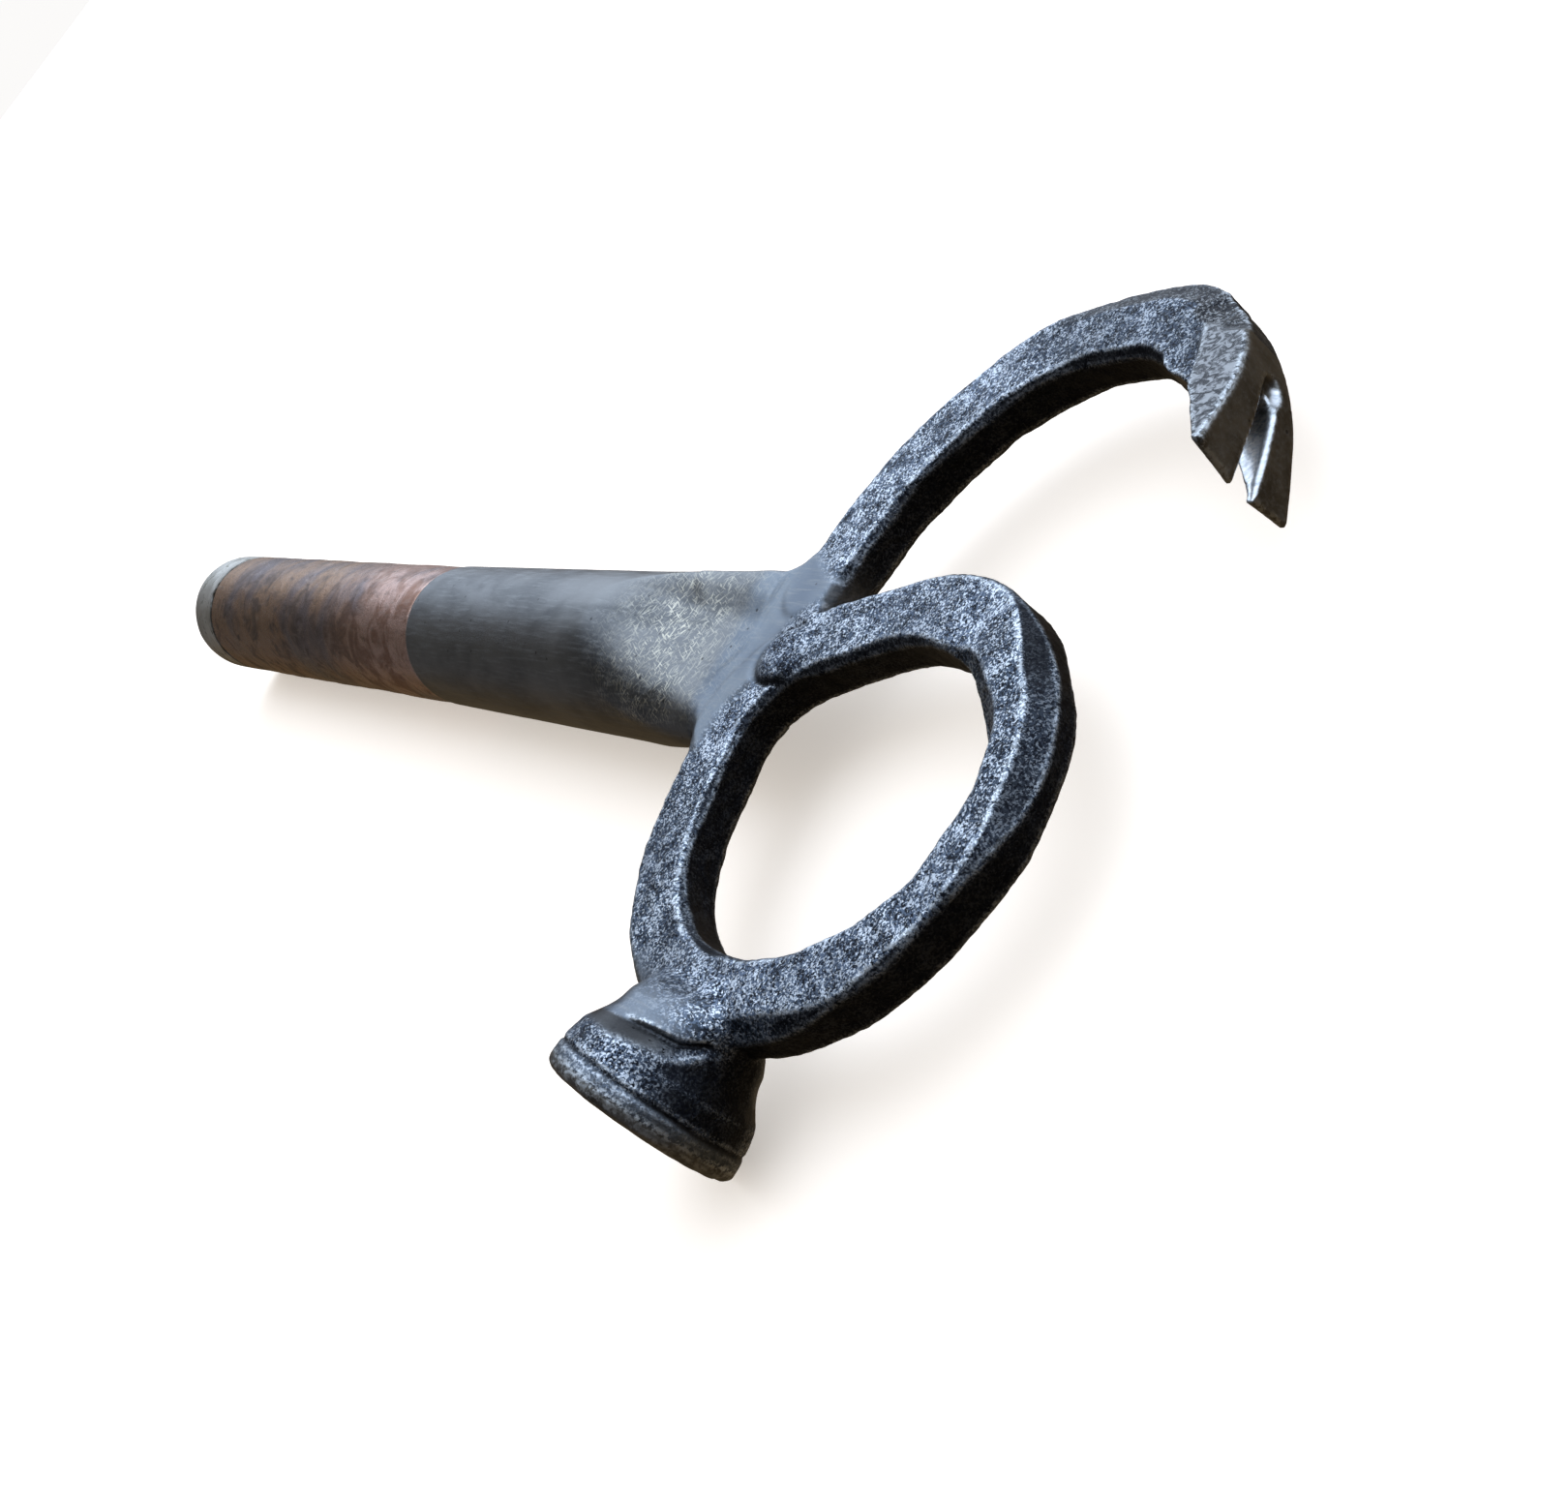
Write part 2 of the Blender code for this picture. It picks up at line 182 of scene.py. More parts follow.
# Studio: camera, light and backdrop
CAMERA_FROM_JOINT = Vector((263.443, -73.195, 138.870)) * MM
CAMERA_AZIMUTH = radians(76.698)
CAMERA_ELEVATION = radians(28.498)
CAMERA_ROLL = radians(-53.193)
CAMERA_LENS = 43.98
LAMP_STRENGTH = 1.25
LAMP_SPREAD = radians(120.0)
FLOOR_R = 12.0
FLOOR_DROP = 0.0002
WALL_R = 11.5
WALL_HEIGHT = 24.0
SKY_SIDE = Vector((-0.094, 0.845, 0.527))
SKY_STEPS = [(0.30, (0.12, 0.12, 0.13)), (0.50, (0.10, 0.095, 0.09)), (0.62, (0.18, 0.18, 0.19)),
             (0.81, (1.20, 1.38, 1.66))]
ROOM_BELOW = (0.12, 0.088, 0.052)
GRIME = (0.03, 0.025, 0.02)


# ---- Fields ----

def ramp(value, start, end):
    """0 before start, 1 after end, and a smooth step between them; start may be the larger one."""
    t = np.clip((value - start) / (end - start), 0.0, 1.0)
    return t * t * (3.0 - 2.0 * t)


def peak(value, centre, width):
    """1 at the centre, fading away to both sides."""
    return np.exp(-((value - centre) / width) ** 2)


def most(*shares):
    """The largest of several shares at each place."""
    return np.maximum.reduce(shares)


def join(a, b, width):
    """Union of two distance fields with a fillet."""
    h = np.maximum(width - np.abs(a - b), 0.0) / width
    return np.minimum(a, b) - h * h * width * 0.25


def keep(a, b, width):
    """What is in both of two distance fields, with a rounded edge."""
    return -join(-a, -b, width)


def noise(x, y, z, size, seed):
    """Smooth random field from -1 to 1 with lumps of that size in millimetres."""
    table = np.random.default_rng(seed).uniform(-1.0, 1.0, NOISE_SIZE).astype(np.float32)
    cells, shares = [], []
    for value in (x, y, z):
        scaled = np.asarray(value, np.float32) / size + 1000.0
        cell = np.floor(scaled).astype(np.int64)
        share = scaled - cell
        cells.append(cell)
        shares.append(share * share * (3.0 - 2.0 * share))
    total = 0.0
    for corner in range(8):
        mix, place = 1.0, 0
        for axis in range(3):
            step = corner >> axis & 1
            mix = mix * (shares[axis] if step else 1.0 - shares[axis])
            place = place ^ (cells[axis] + step) * NOISE_PRIMES[axis]
        total = total + mix * table[place & (NOISE_SIZE - 1)]
    return total


def curve_points(points, closed):
    """Points close together along Blender's own smooth curve through the given ones."""
    data = bpy.data.curves.new("centreline", "CURVE")
    data.resolution_u = 24
    spline = data.splines.new("BEZIER")
    spline.bezier_points.add(len(points) - 1)
    for knot, (x, y) in zip(spline.bezier_points, points):
        knot.co = (x, y, 0.0)
        knot.handle_left_type = "AUTO"
        knot.handle_right_type = "AUTO"
    spline.use_cyclic_u = closed
    obj = bpy.data.objects.new("centreline", data)
    bpy.context.scene.collection.objects.link(obj)
    mesh = obj.to_mesh()
    found = np.array([v.co[:2] for v in mesh.vertices], np.float32)
    obj.to_mesh_clear()
    bpy.data.objects.remove(obj)
    bpy.data.curves.remove(data)
    return found


class Line:
    """A curve in the XY plane, and where any point lies beside it and along it."""

    SPACING = 1.2

    def __init__(self, points, closed):
        self.at = curve_points(points, closed)
        if closed:
            ahead = np.roll(self.at, -1, 0) - np.roll(self.at, 1, 0)
        else:
            ahead = np.gradient(self.at, axis=0)
        self.ahead = ahead / np.linalg.norm(ahead, axis=1)[:, None]
        steps = np.linalg.norm(np.diff(self.at, axis=0), axis=1)
        self.along = np.concatenate([[0.0], np.cumsum(steps)]).astype(np.float32)

    def locate(self, x, y):
        """Distance to the left of the curve, and distance along it."""
        shape = np.broadcast(x, y).shape
        points = np.stack([np.broadcast_to(value, shape).ravel() for value in (x, y)], 1)
        beside = np.empty(len(points), np.float32)
        along = np.empty(len(points), np.float32)
        squares = (self.at ** 2).sum(1)
        for start in range(0, len(points), BATCH):
            batch = slice(start, start + BATCH)
            part = points[batch].astype(np.float32)
            nearest = (squares - 2.0 * part @ self.at.T).argmin(1)
            away = part - self.at[nearest]
            ahead = self.ahead[nearest]
            forward = (away * ahead).sum(1)
            sideways = ahead[:, 0] * away[:, 1] - ahead[:, 1] * away[:, 0]
            past_end = np.maximum(np.abs(forward) - self.SPACING, 0.0)
            beside[batch] = np.sign(sideways) * np.hypot(sideways, past_end)
            along[batch] = self.along[nearest] + forward
        return beside.reshape(shape), along.reshape(shape)


ring_line = Line(RING_PATH, True)
arm_line = Line(ARM_PATH, False)
claw_line = Line(CLAW_EDGE, False)
claw_places = claw_line.locate(*np.array(CLAW_EDGE).T)[1].tolist()


def smooth_table(value, places, levels, softness):
    """Looks value up in a table, with its corners rounded over the given distance."""
    fine = np.linspace(places[0] - 4 * softness, places[-1] + 4 * softness, 600)
    width = max(int(softness / (fine[1] - fine[0])), 1)
    window = np.hanning(2 * width + 1)
    raw = np.interp(fine, places, levels)
    soft = np.convolve(np.pad(raw, width, mode="edge"), window / window.sum(), mode="valid")
    return np.interp(value, fine, soft).astype(np.float32)


def polygon_distance(x, y, outline):
    """Distance to a closed outline in the XY plane, negative inside it."""
    points = np.array(outline, np.float32)
    nearest = np.full(np.broadcast(x, y).shape, 1e9, np.float32)
    inside = np.zeros(nearest.shape, bool)
    for (ax, ay), (bx, by) in zip(points, np.roll(points, -1, 0)):
        ex, ey = bx - ax, by - ay
        t = np.clip(((x - ax) * ex + (y - ay) * ey) / (ex * ex + ey * ey), 0.0, 1.0)
        nearest = np.minimum(nearest, (x - ax - t * ex) ** 2 + (y - ay - t * ey) ** 2)
        crosses = (ay > y) != (by > y)
        left = x < ex * (y - ay) / (ey if ey else 1e-9) + ax
        inside ^= crosses & left
    distance = np.sqrt(nearest)
    return np.where(inside, -distance, distance)


def bar(beside, height, half_w, half_t, inner_chamfer, outer_chamfer):
    """Section of a hammered bar: flat faces with a chamfer to each side. Beside is positive inwards."""
    edge = 0.35
    body = keep(np.abs(beside) - half_w, height - half_t, edge)
    inner = (beside + height - (half_w + half_t - inner_chamfer)) * DIAGONAL
    outer = (height - beside - (half_w + half_t - outer_chamfer)) * DIAGONAL
    return keep(body, keep(inner, outer, edge), edge)


def plan(x, y):
    """What depends only on the place in the XY plane, worked out once for a whole column.

    ring, arm and claw are distances left of those lines, and with _s, along them; weld is the distance to
    the weld's outline; back and across run from the striking face and the poll's axis; past_arm runs from
    the arm's end.
    """
    p = {"x": x, "y": y}
    p["ring"], p["ring_s"] = ring_line.locate(x, y)
    p["arm"], p["arm_s"] = arm_line.locate(x, y)
    p["claw"], p["claw_s"] = claw_line.locate(x, y)
    p["weld"] = polygon_distance(x, y, WELD_OUTLINE)
    out_x, out_y = cos(POLL_ANGLE), sin(POLL_ANGLE)
    p["back"] = -((x - FACE_CENTRE[0]) * out_x + (y - FACE_CENTRE[1]) * out_y)
    p["across"] = -(x - FACE_CENTRE[0]) * out_y + (y - FACE_CENTRE[1]) * out_x
    root_x, root_y = CLAW_EDGE[0]
    past = (x - root_x) * sin(CLAW_ROOT_ANGLE) - (y - root_y) * cos(CLAW_ROOT_ANGLE)
    p["past_arm"] = np.where(y > CLAW_LEAST_Y, past, -50.0)
    return p


def near_poll(p, deeper=0.0, wider=0.0):
    """Whether a place is in the box round the poll."""
    return (p["back"] < POLL_END + deeper) & (np.abs(p["across"]) < POLL_REACH + wider)


def picked(p, z, mask):
    """The plan and the heights at the places that a mask picks out."""
    chosen = {name: np.broadcast_to(value, mask.shape)[mask] for name, value in p.items()}
    return chosen, np.broadcast_to(z, mask.shape)[mask]


def handle_radius(x):
    """Radius of the handle, which flares a little towards the head."""
    flare = np.clip((x - FLARE_X) / (HANDLE_HEAD_X - FLARE_X), 0.0, 1.0)
    return HANDLE_R + (HANDLE_HEAD_R - HANDLE_R) * flare ** 2


def above_scoop(p, height):
    """How far a place is above the floor of the concave scoop over the handle's head end."""
    depth = HANDLE_R - WELD_HALF_T
    radius = (SCOOP_START_X ** 2 + depth ** 2) / (2 * depth)
    run = np.clip(-p["x"], 0.0, radius - 0.5)
    floor = WELD_HALF_T + radius - np.sqrt(radius ** 2 - run ** 2)
    return height - floor


def flank_share(y):
    """1 on the handle's and the weld's side towards the arm."""
    return ramp(y, 5.0, 12.0)


def handle_field(p, z, height):
    """The handle tube, scooped at its head end and cut off at the sleeve."""
    x, y = p["x"], p["y"]
    tube = np.hypot(y, z) - handle_radius(x)
    flank = flank_share(y)
    tube = keep(tube, (above_scoop(p, height) - FLANK_RISE * flank) * 0.9, 7.0 - 5.0 * flank)
    tube = keep(tube, x - HANDLE_HEAD_X - 0.6 - 5.0 * ramp(y, -8.0, 4.0), 0.6)
    return keep(tube, SLEEVE_HEAD_X + GAP - x, 0.5)


def weld_field(p, height):
    """The weld between handle, ring and arm, which carries on the handle's scoops."""
    back_from_ring = ramp(p["x"], -2.0, -12.0)
    flank = flank_share(p["y"]) * back_from_ring
    softness = 1.2 + (5.8 - 4.6 * flank) * back_from_ring
    return keep(p["weld"], (above_scoop(p, height) - FLANK_RISE * flank) * 0.9, softness)


def ring_field(p, z, height):
    """The ring's hammered bar, whose chamfers widen on its upper side only."""
    x, y, s = p["x"], p["y"], p["ring_s"]
    half_w = RING_HALF_W + 0.14 * noise(s, 0, 0, 12.0, 1)
    half_t = BAR_HALF_T + 0.18 * noise(s, p["ring"], 0, 8.0, 2)
    above = ramp(z, -1.0, 1.0)
    inner = 2.9 * ramp(x, 44.0, 62.0) * ramp(y, -44.0, -30.0) + 0.4 * noise(s, 0, 0, 7.0, 3)
    inner = RING_INNER_CHAMFER + inner * above
    outer = 1.8 * ramp(x, 36.0, 44.0) * ramp(x, 64.0, 48.0) * ramp(y, -20.0, -40.0)
    outer = outer + 2.2 * ramp(x, 52.0, 66.0) * ramp(y, -34.0, -10.0)
    outer = RING_OUTER_CHAMFER + outer * above + 0.3 * noise(s, 0, 0, 6.0, 4)
    return bar(p["ring"], height, half_w, half_t, inner, outer)


def lobe_field(p, z, height):
    """Rounded end of the ring's upper branch, which laps over its lower branch."""
    turn = radians(24.0)
    x, y = p["x"] - 7.4, p["y"] - 1.2
    along = x * cos(turn) + y * sin(turn)
    over = -x * sin(turn) + y * cos(turn)
    outline = (np.sqrt((along / 8.4) ** 2 + (over / 5.4) ** 2) - 1.0) * 5.4
    outline = keep(outline, p["ring"] - RING_HALF_W + 0.5, 1.0)
    raised = 1.6 * ramp(along, 7.0, -3.0) * ramp(z, -1.0, 1.0)
    return keep(outline, height - 3.9 - raised, 2.8)


def bevel(height, outward, top, edge, wide, deep):
    """Sloping cut along a bar's outer upper edge, so wide across its top and so deep down its side."""
    slope = (height - top) * wide + (outward - edge + wide) * deep
    return slope / np.hypot(wide, deep)


def arm_field(p, z, height):
    """The arm's hammered bar, with a wide bevel along its upper outer edge near the claw."""
    s = p["arm_s"]
    half_w = ARM_HALF_W + 0.14 * noise(s, 0, 0, 12.0, 5)
    half_t = BAR_HALF_T + 0.15 * noise(s, p["arm"], 0, 8.0, 6)
    chamfer = ARM_CHAMFER + 0.4 * noise(s, 0, 0, 8.0, 7)
    arm = bar(-p["arm"], height, half_w, half_t, chamfer, chamfer)
    near_claw = ramp(p["x"], 22.0, 42.0) * ramp(z, -1.0, 1.0)
    slope = bevel(height, p["arm"], half_t, half_w, 0.8 + 3.6 * near_claw, 0.8 + 1.2 * near_claw)
    return keep(arm, slope, 0.3)


def facet_place(p):
    """How far a place is below the top line of the claw's side facets, and past their inner edge."""
    x, y = p["x"] - FACET_START[0], p["y"] - FACET_START[1]
    below_top = x * sin(FACET_TOP_ANGLE) - y * cos(FACET_TOP_ANGLE)
    past_edge = -x * sin(FACET_EDGE_ANGLE) + y * cos(FACET_EDGE_ANGLE)
    return below_top, past_edge


def slot_place(p):
    """How far a place is down the claw's slot from its top."""
    return (p["x"] - SLOT_TOP[0]) * cos(SLOT_ANGLE) + (p["y"] - SLOT_TOP[1]) * sin(SLOT_ANGLE)


def claw_field(p, z, height):
    """The claw: it thins and widens towards its tips, and a countersunk slot forks it."""
    s = p["claw_s"]
    depth = -p["claw"]
    thickness = smooth_table(s, claw_places, CLAW_THICKNESS, 1.5)
    below_top, past_edge = facet_place(p)
    half_w = CLAW_ROOT_HALF_W + FACET_SLOPE * np.maximum(below_top, 0.0) * ramp(past_edge, -0.8, 0.6)
    half_w = np.minimum(half_w, CLAW_TIP_HALF_W)
    claw = keep(height - half_w, np.maximum(-depth, depth - thickness), 0.45)
    at_root = ramp(s, 15.0, 9.0) * ramp(z, -1.0, 1.0)
    claw = keep(claw, bevel(height, -depth, half_w, 0.0, 0.4 + 4.0 * at_root, 0.4 + 1.6 * at_root), 0.3)
    claw = keep(claw, s - (claw_places[-1] + 1.6 * (1.0 - height / CLAW_TIP_HALF_W)), 0.5)
    q = slot_place(p)
    gap = SLOT_TOP_HALF_W + (SLOT_TIP_HALF_W - SLOT_TOP_HALF_W) * np.clip(q / SLOT_LENGTH, 0.0, 1.0)
    slot = np.hypot(np.minimum(q, 0.0), np.abs(z + SLOT_OFFSET)) - gap
    countersink = slot - np.maximum(0.8 - depth, 0.0) * 0.5
    claw = keep(claw, -countersink, 0.25)
    thumb = np.sqrt(((q + 1.4) / 2.7) ** 2 + ((z + 0.9) / 1.9) ** 2 + ((depth + 0.2) / 1.5) ** 2) - 1.0
    return keep(claw, -thumb * 1.5, 0.3)


def poll_field(p, z, height):
    """The poll from face to ring: plate, groove, bell, fold and a neck that turns from round to square."""
    back = p["back"] + 0.12 * noise(p["across"], z, 0, 5.0, 8)
    half_x = smooth_table(back, POLL_BACK, POLL_HALF_X, 0.9)
    half_z = smooth_table(back, POLL_BACK, POLL_HALF_Z, 0.9)
    square = 2.0 + 0.9 * ramp(back, 12.0, 21.0)
    reach = (np.abs(p["across"]) / half_x) ** square + (height / half_z) ** square
    poll = (np.maximum(reach, 1e-6) ** (1.0 / square) - 1.0) * np.sqrt(half_x * half_z)
    chip = np.maximum(noise(p["across"], z, back, 2.2, 9), 0.0)
    worn_rim = (np.hypot(p["across"], z) - FACE_R + 1.0 - p["back"] + 0.5 * chip) * DIAGONAL
    poll = keep(poll, worn_rim, 0.3)
    poll = keep(poll, -p["back"], 0.5)
    poll = keep(poll, p["back"] - POLL_END, 1.0)
    groove_at = FACE_PLATE + 0.15 * noise(p["across"], z, 0, 7.0, 10)
    poll = poll + 0.38 * peak(back, groove_at, 0.38)
    return poll + fold_depth(p, z, height)


def fold_lines(p, z, height):
    """Angle round the poll from its top or bottom, and how far back the fold's lip and crest are there."""
    turn = np.degrees(np.arctan2(p["across"] * np.sign(z + 1e-6), height))
    turn = turn + 5.0 * noise(p["across"], z, 0, 6.0, 11)
    lip = 11.1 + 0.028 * np.clip(turn, -20.0, 60.0) + 1.8 * ramp(turn, 52.0, 74.0)
    crest = 8.7 + 1.5 * ramp(turn, 5.0, 60.0) + 2.6 * ramp(turn, 50.0, 76.0)
    return turn, lip, crest


def fold_depth(p, z, height):
    """Where the weld's lower edge laps over the bell: a lip, a hollow under it, and the bell's crest."""
    turn, lip, crest = fold_lines(p, z, height)
    across_turn = ramp(turn, -8.0, 28.0) * ramp(turn, 84.0, 66.0)
    back = p["back"]
    rise = np.clip((back - crest) / (lip - crest), 0.0, 1.0)
    hollow = 0.85 * across_turn * rise * rise * ramp(back, lip + 0.9, lip)
    bulge = 0.35 * across_turn * peak(back, crest, 1.3)
    over = 0.22 * across_turn * ramp(back, lip, lip + 0.9) * ramp(back, lip + 6.0, lip + 1.5)
    return hollow - bulge - over


def field(p, z):
    """Signed distance to the surface that the handle, ring, arm, claw and poll share."""
    height = np.abs(z)
    body = join(weld_field(p, height), ring_field(p, z, height), 1.6)
    lobe = lobe_field(p, z, height)
    crease = peak(lobe, 0.0, 0.5) * ramp(p["x"], 9.0, 5.0) * ramp(z, 2.5, 4.0)
    body = join(body + 0.4 * crease, lobe, 0.4)

    arm = np.array(np.broadcast_to(arm_field(p, z, height), body.shape))
    at_claw = np.broadcast_to((p["x"] > CLAW_LEAST_X) & (p["y"] > CLAW_LEAST_Y), body.shape)
    if at_claw.any():
        near, heights = picked(p, z, at_claw)
        share = ramp(near["past_arm"], -1.1, 2.0)
        arm[at_claw] = arm[at_claw] * (1.0 - share) + claw_field(near, heights, np.abs(heights)) * share
    body = join(body, arm, 1.4)
    body = join(body, handle_field(p, z, height), 1.0)

    poll = np.full(body.shape, 1e3, np.float32)
    at_poll = np.broadcast_to(near_poll(p, 3.0, 2.0), body.shape)
    if at_poll.any():
        near, heights = picked(p, z, at_poll)
        poll[at_poll] = poll_field(near, heights, np.abs(heights))
    return join(body, poll, 1.2 + 1.8 * ramp(p["across"], 3.0, -5.0))


def region(p):
    """Which piece each place in the XY plane belongs to."""
    ring = np.abs(p["ring"]) - RING_HALF_W
    arm = np.abs(p["arm"]) - ARM_HALF_W
    found = np.where(arm < ring, ARM, RING)
    in_weld = (p["weld"] < 0.4) & (ring > -0.6 * RING_HALF_W) & (arm > -1.5)
    found = np.where(in_weld, JUNCTION, found)
    found = np.where((p["x"] > CLAW_LEAST_X) & (p["past_arm"] > 0.0), CLAW, found)
    at_poll = near_poll(p)
    found = np.where(at_poll & (ring > -0.2), POLL_WELD, found)
    found = np.where(at_poll & (p["back"] < FOLD_AT), POLL_BODY, found)
    found = np.where(at_poll & (p["back"] < FACE_PLATE), FACE, found)
    return np.where(p["x"] < HANDLE_HEAD_X, HANDLE, found).astype(np.uint8)


# ---- Surface ----

def along_axis(axis, others):
    """Two array indices that pair each sample with the next one along an axis."""
    near, far = [others] * 3, [others] * 3
    near[axis] = slice(None, -1)
    far[axis] = slice(1, None)
    return tuple(near), tuple(far)


def mixed_cells(labels):
    """Grid cells whose corners differ, each one's number on the grid, and which ones reach the outside."""
    low = high = labels
    for axis in range(3):
        near, far = along_axis(axis, slice(None))
        low = np.minimum(low[near], low[far])
        high = np.maximum(high[near], high[far])
    cells = np.argwhere(low != high)
    index = np.full(low.shape, -1, np.int32)
    index[tuple(cells.T)] = np.arange(len(cells))
    return cells, index, low[tuple(cells.T)] == 0


def cell_points(values, labels, cells, outer):
    """One vertex in each such cell, in grid steps: the mean of the crossings on the cell's edges."""
    total = np.zeros((len(cells), 3), np.float32)
    count = np.zeros(len(cells), np.float32)
    for axis in range(3):
        others = [a for a in range(3) if a != axis]
        for corner in range(4):
            start = cells.copy()
            start[:, others[0]] += corner & 1
            start[:, others[1]] += corner >> 1
            end = start.copy()
            end[:, axis] += 1
            near, far = values[tuple(start.T)], values[tuple(end.T)]
            split = labels[tuple(start.T)] != labels[tuple(end.T)]
            crossing = (near < 0) != (far < 0)
            used = np.where(outer, crossing, split)
            share = np.where(crossing, near / np.where(near == far, 1.0, near - far), 0.5)
            spot = start.astype(np.float32)
            spot[:, axis] += share
            total += spot * used[:, None]
            count += used
    return total / np.maximum(count, 1.0)[:, None]


def cell_quads(labels, index):
    """Quads round the grid edges whose ends differ: those of each piece, and those towards the outside."""
    quads = {piece: [] for piece in PIECES}
    skin = []
    for axis in range(3):
        first, second = (axis + 1) % 3, (axis + 2) % 3
        near, far = along_axis(axis, slice(1, -1))
        here, there = labels[near], labels[far]
        edges = np.argwhere(here != there)
        from_label, to_label = here[tuple(edges.T)], there[tuple(edges.T)]
        edges = edges + 1
        edges[:, axis] -= 1
        around = []
        for a, b in ((1, 1), (0, 1), (0, 0), (1, 0)):
            cell = edges.copy()
            cell[:, first] -= a
            cell[:, second] -= b
            around.append(index[tuple(cell.T)])
        quad = np.stack(around, 1)
        for piece in PIECES:
            quads[piece].append(quad[from_label == piece])
            quads[piece].append(quad[to_label == piece][:, ::-1])
        skin.append(quad[to_label == 0])
        skin.append(quad[from_label == 0][:, ::-1])
    return {piece: np.concatenate(parts) for piece, parts in quads.items()}, np.concatenate(skin)


def shared_surface():
    """Vertices on the field's surface, and for each piece its quads, closed along the cuts."""
    axes = [np.arange(low, high, GRID_STEP, dtype=np.float32) for low, high in zip(GRID_LOW, GRID_HIGH)]
    columns = plan(axes[0][:, None, None], axes[1][None, :, None])
    values = field(columns, axes[2][None, None, :])
    labels = np.where(values < 0.0, region(columns), 0).astype(np.uint8)
    cells, index, outer = mixed_cells(labels)
    corner = np.array([axis[0] for axis in axes], np.float32)
    points = cell_points(values, labels, cells, outer) * GRID_STEP + corner
    quads, skin = cell_quads(labels, index)
    return points, outer, quads, skin


def field_at(points):
    """The field at loose points."""
    return field(plan(points[:, 0], points[:, 1]), points[:, 2])


def slopes(points, step):
    """Gradient of the field, and how far it bulges there: positive on ridges, negative in hollows."""
    middle = field_at(points)
    gradient = np.empty_like(points)
    bulge = -6.0 * middle
    for axis in range(3):
        shift = np.zeros(3, np.float32)
        shift[axis] = step
        ahead, behind = field_at(points + shift), field_at(points - shift)
        gradient[:, axis] = (ahead - behind) / (2 * step)
        bulge += ahead + behind
    return middle, gradient, bulge / step ** 2


def settle(points):
    """Moves points onto the surface."""
    for _ in range(2):
        middle, gradient, _ = slopes(points, 0.12)
        steep = np.maximum((gradient ** 2).sum(1), 0.05)
        step = np.clip(middle / steep, -0.35, 0.35)
        points = points - gradient * step[:, None]
    return points


def vertex_normals(points, quads):
    """Area-weighted normals."""
    normal = np.cross(points[quads[:, 2]] - points[quads[:, 0]], points[quads[:, 3]] - points[quads[:, 1]])
    total = np.zeros_like(points)
    for axis in range(3):
        for corner in range(4):
            total[:, axis] += np.bincount(quads[:, corner], normal[:, axis], len(points))
    return total / np.maximum(np.linalg.norm(total, axis=1), 1e-9)[:, None]


def poll_finishes(p, z, height, level):
    """Where the poll's own finishes are."""
    back, at_poll = p["back"], near_poll(p)
    turn, lip, crest = fold_lines(p, z, height)
    # Painted highlight: a bright spot on the neck's upper side, which raises the painted sheen there.
    painted_neck_highlight = peak(p["x"], 42.0, 3.0) * peak(p["y"], -56.5, 3.0) * (z > 0.0)
    neck = at_poll * ramp(back, lip - 0.2, lip + 0.4) * ramp(p["ring"], -0.5, -RING_HALF_W + 0.5)
    neck = neck * ramp(height, 1.5, 4.0) * ramp(p["across"], 11.0, 8.0)
    hollow = at_poll * ramp(back, crest - 0.6, crest + 1.0) * ramp(back, lip + 0.2, lip - 0.1)
    return {"face": at_poll * ramp(back, 1.0, 0.3),
            "rim": at_poll * ramp(back, 2.3, 1.9),
            "chips": at_poll * peak(back, 2.2, 0.45) * (0.5 + 0.5 * ramp(level, 0.0, 0.6)),
            "groove": at_poll * peak(back, FACE_PLATE, 0.34),
            "collar": at_poll * ramp(back, FACE_PLATE + 0.2, FACE_PLATE - 0.2),
            "hollow": hollow * ramp(turn, -70.0, -30.0) * ramp(turn, 62.0, 30.0),
            "neck": neck * (1.0 - 0.8 * painted_neck_highlight),
            "painted_neck_highlight": painted_neck_highlight}


def claw_finishes(p, height, level):
    """Where the claw's own finishes are."""
    past_arm = p["past_arm"]
    q = slot_place(p)
    void = 1.0 - 0.9 * peak(q, 0.9, 1.1)
    slot = void * (past_arm > 0.0) * (q > -3.0) * ramp(height, 3.2, 2.4) * ramp(level, 0.35, 0.7)
    below_top, past_edge = facet_place(p)
    in_facet = ramp(past_edge, -0.3, 0.2) * ramp(below_top, -0.2, 0.3)
    facet = (past_arm > 1.0) * ramp(level, 0.60, 0.75) * in_facet * (1.0 - slot)
    flat_side = ramp(level, 0.75, 0.88) * (past_edge < 0.0)
    bevelled = (past_arm > -1.0) * ramp(p["claw"], -5.4, -4.6) * ramp(below_top, 0.3, -0.1)
    ground = ramp(past_arm, 3.0, 7.0) * (1.0 - flat_side) * (1.0 - 0.9 * bevelled)
    on_side = (below_top > 0.0) * (past_arm > 0.0) * ramp(level, 0.5, 0.8)
    # The ridge is a painted highlight along the inner edge of the claw's side facets.
    return {"slot": slot, "facet": facet, "bevel": bevelled, "ground": np.maximum(ground, facet),
            "ridge": peak(past_edge, 0.0, 0.4) * on_side}


